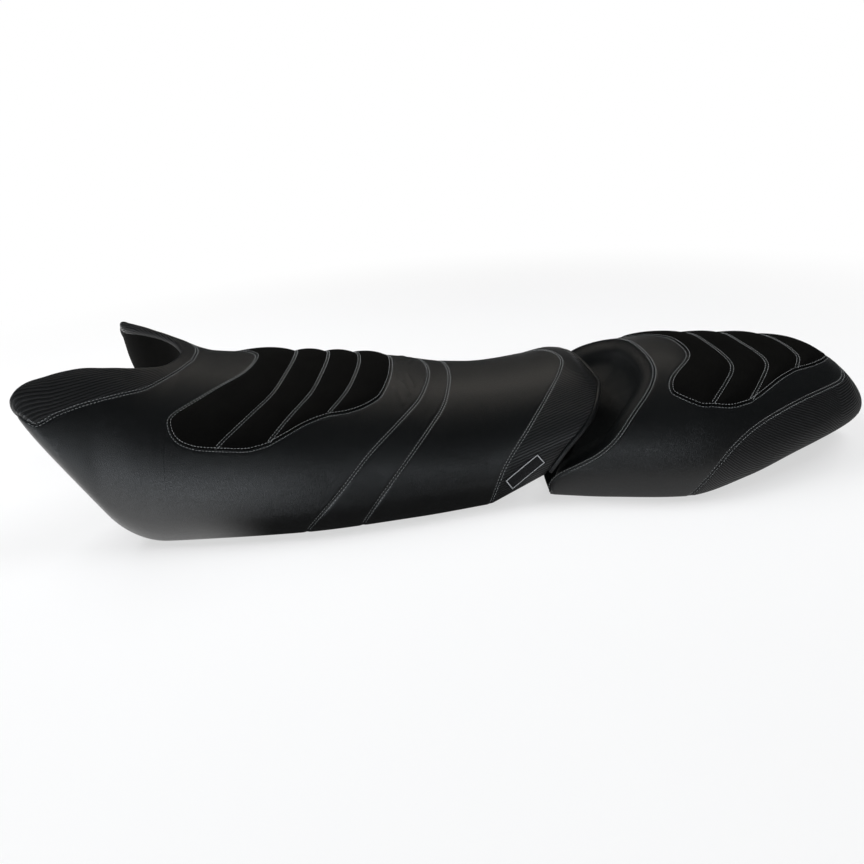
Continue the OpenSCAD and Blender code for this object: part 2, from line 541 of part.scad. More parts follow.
module pin(c) {
    color(c_steel) placed() translate([c.x, cheek + 4, pin_z]) rotate([90, 0, 0]) {
        cylinder(d = pin_d, h = 2 * cheek + 8);
        translate([0, 0, -2.5]) cylinder(d = pin_d + 5, h = 2.5);
        translate([0, 0, 2 * cheek + 8]) cylinder(d = pin_d + 5, h = 2.5);
    }
}
module front_latch_bracket() {
    bracket(latch_f);
}
module front_latch_lever() {
    lever(latch_f);
}
module front_latch_pin() {
    pin(latch_f);
}
module rear_latch_bracket() {
    bracket(latch_r);
}
module rear_latch_lever() {
    lever(latch_r);
}
module rear_latch_pin() {
    pin(latch_r);
}

front_pan();
front_foam();
front_nose_panel();
front_notch_panel();
front_main_panel();
front_band_panel();
front_saddle_panel();
front_bolster_panel();
front_end_panel();
front_piping();
front_pad_1();
front_pad_2();
front_pad_3();
front_pad_4();
sewn_tag();
front_staples();
front_feet();
front_tongue();
front_latch_bracket();
front_latch_lever();
front_latch_pin();
front_bolts();
front_keeper();
rear_pan();
rear_foam();
rear_cup_panel();
rear_main_panel();
rear_tail_panel();
rear_pad_1();
rear_pad_2();
rear_pad_3();
rear_pad_4();
rear_staples();
rear_feet();
rear_tongue();
rear_latch_bracket();
rear_latch_lever();
rear_latch_pin();
rear_bolts();
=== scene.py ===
import json
import math

import bpy
import numpy as np
from mathutils import Matrix, Vector

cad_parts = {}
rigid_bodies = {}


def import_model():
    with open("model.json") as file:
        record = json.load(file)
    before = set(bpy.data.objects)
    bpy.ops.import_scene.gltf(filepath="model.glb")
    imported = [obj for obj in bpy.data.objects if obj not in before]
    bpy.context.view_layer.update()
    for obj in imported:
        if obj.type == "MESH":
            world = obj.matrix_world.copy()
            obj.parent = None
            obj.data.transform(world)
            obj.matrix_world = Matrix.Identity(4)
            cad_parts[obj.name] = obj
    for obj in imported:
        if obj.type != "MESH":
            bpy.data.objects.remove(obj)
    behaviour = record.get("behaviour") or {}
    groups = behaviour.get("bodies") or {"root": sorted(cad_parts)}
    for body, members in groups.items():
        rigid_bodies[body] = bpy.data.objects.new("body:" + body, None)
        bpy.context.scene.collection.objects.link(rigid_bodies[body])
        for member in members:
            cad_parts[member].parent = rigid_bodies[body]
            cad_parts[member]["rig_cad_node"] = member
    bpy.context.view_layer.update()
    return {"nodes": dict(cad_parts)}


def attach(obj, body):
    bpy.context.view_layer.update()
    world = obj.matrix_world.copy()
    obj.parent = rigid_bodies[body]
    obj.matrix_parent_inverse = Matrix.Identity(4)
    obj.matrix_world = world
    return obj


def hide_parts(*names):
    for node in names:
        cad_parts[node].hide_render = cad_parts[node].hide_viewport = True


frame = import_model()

scene = bpy.context.scene

# The saddle's shape, in millimetres: X from the nose to the tail, -Y the near side.
X_MID = 12.0
LIFT = 4.0
DRIVER, PASSENGER = 0, 1
HALF = {
    DRIVER: [(-676, 194), (-668, 202), (-650, 209), (-620, 215), (-580, 221), (-480, 232), (-300, 238),
             (-120, 222), (0, 202), (85, 188), (160, 176), (210, 166)],
    PASSENGER: [(80, 188), (180, 212), (300, 228), (400, 210), (500, 177), (580, 143), (624, 112),
                (644, 86), (652, 68)],
}
TOP = {
    DRIVER: [(-676, 285), (-664, 277), (-645, 270), (-610, 268), (-575, 261), (-540, 245), (-510, 226),
             (-482, 215), (-420, 206), (-358, 200), (-250, 188), (-143, 172), (-60, 155), (10, 151),
             (90, 157), (140, 165), (165, 161), (185, 148), (204, 128)],
    PASSENGER: [(80, 166), (200, 168), (285, 169), (330, 172), (380, 170), (440, 167), (500, 163),
                (542, 157), (594, 140), (626, 114), (642, 90), (649, 71), (651, 56), (652, 42)],
}
REAR_TUCK = [(80, 12), (300, 12), (400, 22), (500, 36), (580, 42), (632, 34), (652, 24)]
NOTCH_X = list(enumerate([-676, -660, -640, -615, -580, -550, -528, -514, -509]))
NOTCH_Y = list(enumerate([177, 145, 120, 104, 92, 78, 58, 32, 0]))
NOSE_X = list(enumerate([-671, -648, -620, -586, -553, -527, -507, -490, -483]))
NOSE_Y = list(enumerate([199, 200, 181, 158, 138.5, 119, 88, 43, 0]))
NOSE_LINE = [(0, -483), (1, -483)]
BAND_A = [(0, -85), (0.24, -99), (0.43, -133), (0.63, -184), (0.82, -231), (1, -290)]
BAND_B = [(0, -50), (0.28, -62), (0.47, -90), (0.69, -132), (1, -205)]
BOLSTER = [(0, 146), (0.17, 132), (0.36, 102), (0.62, 55), (0.81, 16), (1, -6)]
TAIL_END = [(0, 203), (0.39, 179), (0.61, 161), (0.75, 140), (0.84, 112), (1, 82)]
CUP_LINE = [(0, 285), (0.18, 282), (0.29, 269), (0.38, 252), (0.5, 223), (0.7, 180), (0.8, 143), (0.88, 97),
            (0.93, 86), (1, 92)]
TAIL_LINE = [(0, 619), (0.4, 594), (0.51, 565), (0.6, 463), (0.66, 409), (0.81, 344), (1, 297)]
REAR_LINE = [(0, 652), (1, 652)]
PAD_LINES = {
    DRIVER: [
        [(0, -380), (0.11, -386), (0.2, -412), (0.34, -452), (0.41, -480), (0.6, -492)],
        [(0, -316), (0.23, -326), (0.43, -366), (0.6, -415)],
        [(0, -259), (0.23, -268), (0.41, -300), (0.6, -340)],
        [(0, -204), (0.21, -213), (0.4, -244), (0.6, -285)],
        [(0, -149), (0.08, -150), (0.23, -159), (0.34, -176), (0.45, -205)]],
    PASSENGER: [
        [(0, 352), (0.11, 349), (0.19, 334), (0.26, 305), (0.32, 290), (0.39, 286), (0.55, 300)],
        [(0, 398), (0.13, 401), (0.25, 403), (0.38, 375), (0.51, 337), (0.6, 315)],
        [(0, 455), (0.25, 463), (0.4, 432), (0.54, 396), (0.6, 380)],
        [(0, 526), (0.2, 526), (0.35, 501), (0.5, 470)],
        [(0, 602), (0.11, 596), (0.2, 585), (0.27, 574), (0.36, 545)]],
}
PAD_LOW = {
    DRIVER: [
        [(0, 0.44), (0.15, 0.515), (0.35, 0.555), (0.7, 0.58), (1, 0.585)],
        [(0, 0.585), (0.6, 0.59), (1, 0.565)],
        [(0, 0.565), (0.3, 0.51), (0.6, 0.45), (1, 0.405)],
        [(0, 0.405), (0.5, 0.385), (0.8, 0.35), (1, 0.29)]],
    PASSENGER: [
        [(0, 0.4), (0.3, 0.465), (0.7, 0.505), (1, 0.51)],
        [(0, 0.51), (0.6, 0.535), (1, 0.525)],
        [(0, 0.525), (0.25, 0.475), (0.6, 0.4), (1, 0.345)],
        [(0, 0.345), (0.5, 0.315), (0.8, 0.26), (1, 0.17)]],
}
NOSE_R, NOSE_RAKE, NOSE_C = 90.0, 1.82, -505.0
RAKE_X, RAKE_RISE = -583.9, 46.6
UNDERCUT_X, UNDERCUT_SLOPE = -5, 0.42
TAIL_X, TAIL_SLOPE = 300, 0.1
ROUND_UP, ROUND_OUT = 2.4, 2.2
TUCK_HIGH = {DRIVER: 45, PASSENGER: 60}
FRONT_TUCK, FULL_TUCK = 12, 60
RIM_R = 6.5
RIM_DROP = {DRIVER: 2.6, PASSENGER: 1.6}
RIM_FADE_END, RIM_FADE_LONG = 480, 100
HEM_W = 26.0
HEM_CLOSES = {DRIVER: (-562, -22, 0.985), PASSENGER: (590, 40, 1.0)}


def curve(table, u, level=False):
    """A smooth curve through a short table, without overshoot; level starts it flat."""
    t = np.asarray(table, float)
    x = np.clip(np.asarray(u, float), t[0, 0], t[-1, 0])
    rise = np.diff(t[:, 1]) / np.diff(t[:, 0])
    lean = np.concatenate([rise[:1], np.zeros(len(t) - 2), rise[-1:]])
    before, after = rise[:-1], rise[1:]
    same = before * after > 0
    lean[1:-1][same] = 2 * before[same] * after[same] / (before[same] + after[same])
    if level:
        lean[0] = 0
    i = np.clip(np.searchsorted(t[:, 0], x, side="right") - 1, 0, len(t) - 2)
    h = t[i + 1, 0] - t[i, 0]
    s = (x - t[i, 0]) / h
    return ((2 * s ** 3 - 3 * s ** 2 + 1) * t[i, 1] + (s ** 3 - 2 * s ** 2 + s) * h * lean[i]
            + (3 * s ** 2 - 2 * s ** 3) * t[i + 1, 1] + (s ** 3 - s ** 2) * h * lean[i + 1])


def eased(t):
    return t * t * (3 - 2 * t)


SMOOTHED = {}


def seam(table, a):
    """Where a seam lies at turn a: its table's curve with the last kinks rounded off."""
    key = id(table)
    if key not in SMOOTHED:
        step, reach = 0.005, 0.1
        u = np.arange(-200, 201) * step
        line = curve(table, np.abs(u), level=True)
        n = int(3 * reach / step)
        line = np.concatenate([2 * line[0] - line[n:0:-1], line, 2 * line[-1] - line[-2:-n - 2:-1]])
        weight = np.exp(-0.5 * (np.arange(-n, n + 1) * step / (reach * 0.4)) ** 2)
        SMOOTHED[key] = (u, np.convolve(line, weight / weight.sum(), "valid"), table)
    u, line, _ = SMOOTHED[key]
    return np.interp(np.abs(a), u, line)


def base(k, x):
    """Height of the rim: bent up and raked below the horns, and rising towards each seat's tail."""
    x = np.asarray(x, float)
    if k == PASSENGER:
        return LIFT + np.maximum(0, (x - TAIL_X) * TAIL_SLOPE)
    bend = NOSE_R - np.sqrt(np.maximum(0, NOSE_R ** 2 - np.clip(x - NOSE_C, -NOSE_R, 0) ** 2))
    low = np.where(x < NOSE_C, bend, np.maximum(0, (x - UNDERCUT_X) * UNDERCUT_SLOPE))
    return LIFT + np.where(x < RAKE_X, RAKE_RISE + (RAKE_X - x) * NOSE_RAKE, low)


def height(k, x):
    """Height of the crown above the rim."""
    return np.maximum(1, curve(TOP[k], x) + LIFT - base(k, x))


def skin(k, x, a):
    """Points of the covered surface: turn a is 0 at the crown, 1 at the near rim and -1 at the far rim."""
    x, a = np.broadcast_arrays(np.asarray(x, float), np.asarray(a, float))
    t = np.minimum(np.abs(a), 1) * math.pi / 2
    h = height(k, x)
    v = h * np.cos(t).clip(0) ** (2 / ROUND_UP)
    w = np.maximum(0, 1 - v / np.minimum(TUCK_HIGH[k], h))
    tuck = FRONT_TUCK if k == DRIVER else curve(REAR_TUCK, x)
    y = curve(HALF[k], x) * np.sin(t) ** (2 / ROUND_OUT) - tuck * np.minimum(1, h / FULL_TUCK) * w * w
    return np.stack([x, -np.sign(a) * y, base(k, x) + v], -1)


def unit(v):
    return v / np.maximum(np.linalg.norm(v, axis=-1, keepdims=True), 1e-9)


def facing(k, x, a):
    """The way the covered surface faces."""
    a = np.asarray(a, float)
    across = skin(k, x, np.minimum(a + 0.004, 1)) - skin(k, x, np.maximum(a - 0.004, -1))
    along = skin(k, np.asarray(x) + 0.5, a) - skin(k, np.asarray(x) - 0.5, a)
    return unit(np.cross(across, along))


def turn_at(k, x, y):
    return np.arcsin(np.minimum(1, np.abs(y) / curve(HALF[k], x)) ** (ROUND_OUT / 2)) / (math.pi / 2)


def turn_of_height(k, x, v):
    return np.arccos(np.minimum(1, v / height(k, x)) ** (ROUND_UP / 2)) / (math.pi / 2)


def crowded(n, share=0.6):
    """n steps from 0 to 1 that lie closer together at both ends."""
    t = np.linspace(0, 1, n)
    return (1 - share) * t + share * (0.5 - 0.5 * np.cos(math.pi * t))


def section_lines(k, line_x, first, rows, hem, crowd=1.0):
    """Lines down the near side: line_x(a) gives each line's place at turn a, first its highest turn."""
    rim_x = line_x(np.ones(1))[..., 0]
    low = np.maximum(turn_of_height(k, rim_x, RIM_R), first + 0.01)
    part = np.linspace(0, 1, rows) ** crowd
    a = first[:, None] + (low - first)[:, None] * part[None, :]
    side = skin(k, line_x(a), a)
    corner = skin(k, rim_x, 1.0)
    drop = RIM_DROP[k] * np.clip((RIM_FADE_END - rim_x) / RIM_FADE_LONG, 0, 1)
    lowered = corner - np.array([0, 0, 1.0]) * drop[:, None]
    inward = np.array([0, 1.0, 0])
    t = np.linspace(0, 1, 7)[1:, None]
    start, end = side[:, -1:, :], (corner + inward * np.minimum(RIM_R, hem * 0.5)[:, None])[:, None, :]
    bend = (1 - t) ** 2 * start + 2 * t * (1 - t) * lowered[:, None, :] + t * t * end
    reach = (corner + inward * hem[:, None])[:, None, :]
    turned = end + (reach - end) * np.array([0.33, 0.67, 1])[None, :, None]
    return np.concatenate([side, bend, turned], 1)


def notch_at(x):
    """Half width of the notch between the horns."""
    order = np.argsort([v for _, v in NOTCH_X])
    xs = np.array([v for _, v in NOTCH_X], float)[order]
    ys = np.array([v for _, v in NOTCH_Y], float)[order]
    return np.where(x > xs[-1], 0, np.interp(x, xs, ys))


def hem_at(k, x):
    """How far a cover turns in at the rim: a hem along the sides, and right across below horns and tail."""
    x = np.asarray(x, float)
    room = -skin(k, x, 1.0)[..., 1] - (notch_at(x) if k == DRIVER else 0)
    start, within, share = HEM_CLOSES[k]
    closed = np.clip((x - start) / within, 0, 1)
    return np.minimum(HEM_W, 0.4 * room) * (1 - closed) + share * room * closed


def strip(k, p, q, s, rows):
    """The near half of a panel between two seams, s from 0 at the front seam to 1 at the rear one."""
    s = np.asarray(s, float)

    def line_x(a):
        a = np.broadcast_to(a, (len(s), a.shape[-1])) if a.ndim == 1 else a
        return seam(p, a) + (seam(q, a) - seam(p, a)) * s[:, None]
    rim_x = line_x(np.ones(1))[:, 0]
    return section_lines(k, line_x, np.zeros(len(s)), rows, hem_at(k, rim_x))


def normals_of(grid):
    down = np.gradient(grid, axis=1)
    along = np.gradient(grid, axis=0)
    return unit(np.cross(down, along))


def distance_to(points, path):
    """Distance from each point to a polyline, worked out in slices."""
    flat = points.reshape(-1, 3)
    p, d = path[:-1], np.diff(path, axis=0)
    dd = np.maximum((d * d).sum(-1), 1e-9)
    out = np.empty(len(flat))
    for i in range(0, len(flat), 4000):
        q = flat[i:i + 4000, None, :] - p[None]
        t = np.clip((q * d[None]).sum(-1) / dd, 0, 1)
        out[i:i + 4000] = np.sqrt((((q - t[..., None] * d[None]) ** 2).sum(-1)).min(1))
    return out.reshape(points.shape[:-1])


def travelled(path):
    """Distance gone at each point of a path."""
    return np.concatenate([[0], np.cumsum(np.linalg.norm(np.diff(path, axis=0), axis=1))])


def at_lengths(at, gone, values):
    """Values along a path at given distances from its start."""
    return np.stack([np.interp(at, gone, values[:, c]) for c in range(3)], -1)


# Seams, as places along the seat and turns round it.
GROOVE_DEPTH, PAD_GROOVE, GROOVE_WIDTH = 1.5, 1.2, 2.6


def seam_turns(table):
    """Places and turns along a seam from the near rim over the crown to the far rim."""
    a = np.linspace(1, -1, 321)
    return seam(table, a), a


def nose_turns():
    """The same along the nose seam, which starts at the near horn's tip."""
    i = np.linspace(0, 8, 161)
    x, y = curve(NOSE_X, i), curve(NOSE_Y, i)
    a = turn_at(DRIVER, x, y)
    return np.concatenate([x, x[-2::-1]]), np.concatenate([a, -a[-2::-1]])


SEAMS = {
    "nose": (DRIVER, *nose_turns()),
    "band_a": (DRIVER, *seam_turns(BAND_A)),
    "band_b": (DRIVER, *seam_turns(BAND_B)),
    "bolster": (DRIVER, *seam_turns(BOLSTER)),
    "cup": (PASSENGER, *seam_turns(CUP_LINE)),
    "tail": (PASSENGER, *seam_turns(TAIL_LINE)),
}


def pad_outline(k):
    """Places and turns round the near half of a seat's quilted pad, from crown to crown."""
    lines, low = PAD_LINES[k], PAD_LOW[k]
    s = np.linspace(0, 1, 41)
    front = np.linspace(0, low[0][0][1], 60)
    xs, turns = [seam(lines[0], front)], [front]
    for i in range(4):
        a = curve(low[i], s)
        xs.append(seam(lines[i], a) + (seam(lines[i + 1], a) - seam(lines[i], a)) * s)
        turns.append(a)
    back = np.linspace(low[3][-1][1], 0, 40)
    xs.append(seam(lines[4], back))
    turns.append(back)
    x, a = np.concatenate(xs), np.concatenate(turns)
    keep = np.concatenate([[True], np.hypot(np.diff(x), np.diff(a) * 250) > 1.0])
    x, a = x[keep], a[keep]
    for _ in range(6):
        x[1:-1] = 0.25 * x[:-2] + 0.5 * x[1:-1] + 0.25 * x[2:]
        a[1:-1] = 0.25 * a[:-2] + 0.5 * a[1:-1] + 0.25 * a[2:]
    return x, a


OUTLINES = {k: pad_outline(k) for k in (DRIVER, PASSENGER)}
GROOVES = {DRIVER: [], PASSENGER: []}
for kind, sx, sa in SEAMS.values():
    GROOVES[kind].append((skin(kind, sx, sa), GROOVE_DEPTH))
for kind, (sx, sa) in OUTLINES.items():
    for side in (1, -1):
        GROOVES[kind].append((skin(kind, sx, side * sa), PAD_GROOVE))


def groove(k, points):
    """How far the cover is drawn in at its seams."""
    depth = np.zeros(points.shape[:-1])
    for path, deep in GROOVES[k]:
        d = distance_to(points, path[::2])
        depth = np.maximum(depth, deep * np.exp(-(d / GROOVE_WIDTH) ** 2))
    return depth


# Making meshes.
def in_frame(points):
    return (np.asarray(points, float) + np.array([X_MID, 0, 0])) * 0.001


def clear_selection():
    if bpy.context.mode != "OBJECT":
        bpy.ops.object.mode_set(mode="OBJECT")
    bpy.ops.object.select_all(action="DESELECT")


def picked(piece):
    """Makes a piece the only one selected, and the active one."""
    clear_selection()
    piece.select_set(True)
    bpy.context.view_layer.objects.active = piece


def edited(piece, *steps):
    """Runs mesh operators on a piece in edit mode, each given with its settings."""
    picked(piece)
    bpy.ops.object.mode_set(mode="EDIT")
    for step, settings in steps:
        step(**settings)
    bpy.ops.object.mode_set(mode="OBJECT")


ALL = (bpy.ops.mesh.select_all, {"action": "SELECT"})
NONE = (bpy.ops.mesh.select_all, {"action": "DESELECT"})
OPEN_EDGES = (bpy.ops.mesh.select_non_manifold, {})
FACE_OUT = (bpy.ops.mesh.normals_make_consistent, {"inside": False})


def applied(piece, kind, **settings):
    """Adds a modifier to a piece and applies it."""
    modifier = piece.modifiers.new(kind.lower(), kind)
    for key, value in settings.items():
        setattr(modifier, key, value)
    picked(piece)
    bpy.ops.object.modifier_apply(modifier=modifier.name)


def points_of(piece):
    co = np.empty(len(piece.data.vertices) * 3)
    piece.data.vertices.foreach_get("co", co)
    return co.reshape(-1, 3)


def move_points(piece, co):
    piece.data.vertices.foreach_set("co", co.ravel())
    piece.data.update()


def keep_value(piece, key, values):
    """Keeps a number at each point of a piece, for its finish to read."""
    kept = piece.data.attributes.new(key, "FLOAT", "POINT")
    kept.data.foreach_set("value", values.astype(np.float32).ravel())


def smooth_shaded(piece, degrees=60):
    picked(piece)
    bpy.ops.object.shade_smooth_by_angle(angle=math.radians(degrees))


def laid_grid(name, points, flow=None):
    """A flat grid of the right count, laid onto the given points; flow is kept for the ribs."""
    lines, rows = points.shape[:2]
    clear_selection()
    bpy.ops.mesh.primitive_grid_add(x_subdivisions=rows - 1, y_subdivisions=lines - 1)
    piece = bpy.context.active_object
    piece.name = piece.data.name = name
    if flow is not None:
        keep_value(piece, "flow", flow)
    move_points(piece, in_frame(points))
    return piece


COVER_THICK, NEAR = 2.2, 0.00002


def both_sides(piece):
    applied(piece, "MIRROR", use_axis=(False, True, False), use_mirror_merge=True, merge_threshold=NEAR)


def thick(piece, thickness=COVER_THICK):
    applied(piece, "SOLIDIFY", thickness=thickness * 0.001, offset=-1.0, use_rim=True)


def merged(piece, distance=NEAR):
    edited(piece, ALL, (bpy.ops.mesh.remove_doubles, {"threshold": distance}))


def joined(name, pieces):
    clear_selection()
    for piece in pieces:
        piece.select_set(True)
    bpy.context.view_layer.objects.active = pieces[0]
    if len(pieces) > 1:
        bpy.ops.object.join()
    pieces[0].name = pieces[0].data.name = name
    return pieces[0]


def dressed(piece, material, body, slot, *nodes):
    """Gives a piece its finish, the body it rides on and the nodes it stands for; its slot is not used."""
    piece.data.materials.clear()
    piece.data.materials.append(material)
    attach(piece, body)
    if nodes:
        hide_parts(*nodes)
    return piece


# Finishes.
class Wire:
    """A shader value; arithmetic on it adds the Math nodes, and make adds any other node."""

    def __init__(self, tree, socket=None):
        self.tree, self.socket = tree, socket

    def make(self, kind, settings=None, values=None, output=0):
        node = self.tree.nodes.new(kind)
        for key, value in (settings or {}).items():
            setattr(node, key, value)
        for key, value in (values or {}).items():
            if isinstance(value, Wire):
                self.tree.links.new(value.socket, node.inputs[key])
            else:
                node.inputs[key].default_value = value
        return Wire(self.tree, node.outputs[output])

    def sum(self, operation, first, second=0.0):
        return self.make("ShaderNodeMath", {"operation": operation}, {0: first, 1: second})

    def __add__(self, other):
        return self.sum("ADD", self, other)

    def __mul__(self, other):
        return self.sum("MULTIPLY", self, other)

    def __sub__(self, other):
        return self.sum("SUBTRACT", self, other)

    def __rsub__(self, other):
        return self.sum("SUBTRACT", other, self)

    def __truediv__(self, other):
        return self.sum("DIVIDE", self, other)

    __radd__, __rmul__ = __add__, __mul__

    def smooth(self, low, high, to_low=0.0, to_high=1.0):
        return self.make("ShaderNodeMapRange", {"interpolation_type": "SMOOTHSTEP"},
                         {"Value": self, "From Min": low, "From Max": high,
                          "To Min": to_low, "To Max": to_high})


def finish_named(name, **constants):
    """A material with its Principled shader's steady values set, and the start of its node wiring."""
    material = bpy.data.materials.new(name)
    material.use_nodes = True
    shader = material.node_tree.nodes["Principled BSDF"]
    for key, value in constants.items():
        shader.inputs[key.replace("_", " ")].default_value = value
    return material, shader, Wire(material.node_tree)


def feed(shader, wire, key):
    wire.tree.links.new(wire.socket, shader.inputs[key])


def place(wire):
    return wire.make("ShaderNodeTexCoord", output="Object")


def noise(wire, scale, detail=3.0, at=None):
    return wire.make("ShaderNodeTexNoise", None, {"Vector": at or place(wire), "Scale": scale,
                     "Detail": detail, "Roughness": 0.55}, output="Fac")


def mixed(wire, factor, first, second):
    """A mix of two colours, each given as a triple or as another mix."""
    first, second = (c if isinstance(c, Wire) else (*c, 1) for c in (first, second))
    return wire.make("ShaderNodeMix", {"data_type": "RGBA"}, {"Factor": factor, "A": first, "B": second},
                     output="Result")


def ripple(wire, value, pitch):
    """A wave from 0 to 1 with its crests a pitch apart."""
    return wire.sum("COSINE", value * (2 * math.pi / pitch)) * 0.5 + 0.5


def bumped(shader, wire, height_field, distance):
    normal = wire.make("ShaderNodeBump", None,
                       {"Strength": 1.0, "Distance": distance, "Height": height_field})
    feed(shader, normal, "Normal")


def vinyl_finish(name, ribbed=False):
    material, shader, w = finish_named(name, Specular_IOR_Level=0.85)
    grain = w.make("ShaderNodeTexVoronoi", {"feature": "DISTANCE_TO_EDGE"},
                   {"Vector": place(w), "Scale": 620.0}).smooth(0.0, 0.32)
    cloud = noise(w, 9.0)
    scuff = noise(w, 60.0, 5.0)
    shade = cloud * 0.6 + scuff * 0.4
    rough = 0.28 + shade * 0.15 - grain * 0.04
    relief = grain * 0.25
    if ribbed:
        flow = w.make("ShaderNodeAttribute", {"attribute_name": "flow"}, output="Fac")
        # The rib wave drives the real relief and roughness, and also a painted highlight on the crests and
        # painted shade in the valleys
        rib_relief_and_painted_shade = ripple(w, flow, RIB_PITCH).smooth(0.25, 0.85)
        relief = relief * 0.3 + rib_relief_and_painted_shade * 1.8
        rough = rough + (1 - rib_relief_and_painted_shade) * 0.3
        # Painted highlight and painted shade: rib crests are painted lighter and valleys darker, standing in
        # for the light on the relief
        feed(shader, mixed(w, rib_relief_and_painted_shade, (0.0006, 0.0006, 0.0007), (0.0155, 0.0166, 0.0174)), "Base Color")
    else:
        feed(shader, mixed(w, shade, (0.0025, 0.0030, 0.0032), (0.0052, 0.0059, 0.0062)), "Base Color")
    feed(shader, rough, "Roughness")
    bumped(shader, w, relief, 0.0005)
    return material


def suede_finish():
    material, shader, w = finish_named("black_suede", Specular_IOR_Level=0.06)
    fibre = noise(w, 1500.0, 2.0)
    brushed = noise(w, 26.0, 4.0)
    nap = fibre * 0.6 + brushed * 0.4
    feed(shader, mixed(w, nap, (0.0010, 0.0010, 0.0010), (0.0062, 0.0061, 0.0056)), "Base Color")
    feed(shader, 0.82 + fibre * 0.16, "Roughness")
    bumped(shader, w, fibre * 0.7 + brushed * 1.5, 0.0006)
    return material


def thread_finish():
    material, shader, w = finish_named("grey_thread", Specular_IOR_Level=0.3)
    strand = noise(w, 2400.0, 1.0)
    soil = noise(w, 14.0, 3.0)
    feed(shader, mixed(w, strand * 0.5 + soil * 0.5, (0.19, 0.20, 0.20), (0.42, 0.43, 0.43)), "Base Color")
    feed(shader, 0.5 + strand * 0.25, "Roughness")
    bumped(shader, w, strand, 0.0003)
    return material


def plain_finish(name, dark, light, rough, scale, relief, shine=0.5):
    """A moulded or coated surface with fine relief and slow clouding."""
    material, shader, w = finish_named(name, Specular_IOR_Level=shine)
    fine = noise(w, scale, 4.0)
    wide = noise(w, scale * 0.04, 3.0)
    feed(shader, mixed(w, fine * 0.5 + wide * 0.5, dark, light), "Base Color")
    feed(shader, rough + wide * 0.12 - fine * 0.05, "Roughness")
    bumped(shader, w, fine, relief)
    return material


def steel_finish():
    material, shader, w = finish_named("zinc_steel", Metallic=1.0)
    drawn = w.make("ShaderNodeMapping", None, {"Vector": place(w), "Scale": (40.0, 900.0, 900.0)})
    streak = noise(w, 1.0, 4.0, at=drawn)
    cloud = noise(w, 35.0, 3.0)
    feed(shader, mixed(w, cloud, (0.42, 0.43, 0.44), (0.62, 0.63, 0.64)), "Base Color")
    feed(shader, 0.26 + streak * 0.16 + cloud * 0.1, "Roughness")
    bumped(shader, w, streak, 0.0002)
    return material


def tag_finish():
    material, shader, w = finish_named("woven_tag", Specular_IOR_Level=0.4)
    across = w.make("ShaderNodeAttribute", {"attribute_name": "tag_u"}, output="Fac")
    up = w.make("ShaderNodeAttribute", {"attribute_name": "tag_v"}, output="Fac")
    from_end = w.sum("MINIMUM", across, TAG_LONG - across)
    from_side = w.sum("MINIMUM", up, TAG_TALL - up)
    inset = w.sum("MINIMUM", from_end, from_side)
    border = inset.smooth(1.0, 1.25) * inset.smooth(2.2, 2.45, 1.0, 0.0)
    weave = ripple(w, across, WEAVE_PITCH) * 0.5 + ripple(w, up, WEAVE_PITCH) * 0.5
    ground = mixed(w, weave, (0.006, 0.006, 0.007), (0.016, 0.016, 0.018))
    silver = mixed(w, weave, (0.46, 0.47, 0.48), (0.66, 0.67, 0.68))
    feed(shader, mixed(w, border, ground, silver), "Base Color")
    feed(shader, 0.7 - weave * 0.2, "Roughness")
    bumped(shader, w, weave, 0.0002)
    return material


RIB_PITCH = 4.4
TAG_LONG, TAG_TALL, WEAVE_PITCH = 50.0, 20.0, 0.55
vinyl = vinyl_finish("black_vinyl")
ribbed_vinyl = vinyl_finish("ribbed_vinyl", ribbed=True)
suede = suede_finish()
thread = thread_finish()
woven_tag = tag_finish()
foam_finish = plain_finish("cream_foam", (0.55, 0.46, 0.27), (0.74, 0.66, 0.44), 0.85, 900.0, 0.0008)
pan_plastic = plain_finish("moulded_pan_plastic", (0.018, 0.018, 0.019), (0.034, 0.034, 0.036), 0.45, 700.0,
                           0.0004)
foot_rubber = plain_finish("foot_rubber", (0.012, 0.012, 0.012), (0.024, 0.024, 0.023), 0.62, 500.0, 0.0005)
zinc_steel = steel_finish()
matt_backing = plain_finish("matt_backing", (0.0012, 0.0012, 0.0011), (0.0052, 0.0050, 0.0044), 0.86, 600.0,
                            0.0008, 0.12)


# Covers, each laid over the near half of the shape and mirrored.
def arc_table(k, x_low, x_high):
    """Distance from the crown down the section, over a range of places and turns."""
    xs, turns = np.linspace(x_low, x_high, 121), np.linspace(0, 1, 161)
    points = skin(k, xs[:, None], turns[None, :])
    steps = np.linalg.norm(np.diff(points, axis=1), axis=2)
    return xs, turns, points[..., 2], np.concatenate([np.zeros((len(xs), 1)), np.cumsum(steps, 1)], 1)


def rib_flow(k, grid, x0, z0, slope):
    """Distance up the section from a sloping line on the side, which the ribs run along."""
    xs, turns, z, gone = arc_table(k, grid[..., 0].min() - 1, grid[..., 0].max() + 1)
    line = z0 + slope * (xs - x0)
    start = np.array([np.interp(-line[i], -z[i], gone[i]) for i in range(len(xs))])
    past = np.maximum(0, line - z[:, 0])
    x, y = grid[..., 0], np.abs(grid[..., 1])
    v = np.clip(grid[..., 2] - base(k, x), 0, None)
    low = v < 0.5 * height(k, x)
    a = np.where(low, turn_of_height(k, x, v), turn_at(k, x, y))
    i = np.clip((x - xs[0]) / (xs[1] - xs[0]), 0, len(xs) - 1.001)
    j = np.clip(a * (len(turns) - 1), 0, len(turns) - 1.001)
    i0, j0 = i.astype(int), j.astype(int)
    fi, fj = i - i0, j - j0
    at = ((1 - fi) * ((1 - fj) * gone[i0, j0] + fj * gone[i0, j0 + 1])
          + fi * ((1 - fj) * gone[i0 + 1, j0] + fj * gone[i0 + 1, j0 + 1]))
    return np.interp(x, xs, start - past) - at


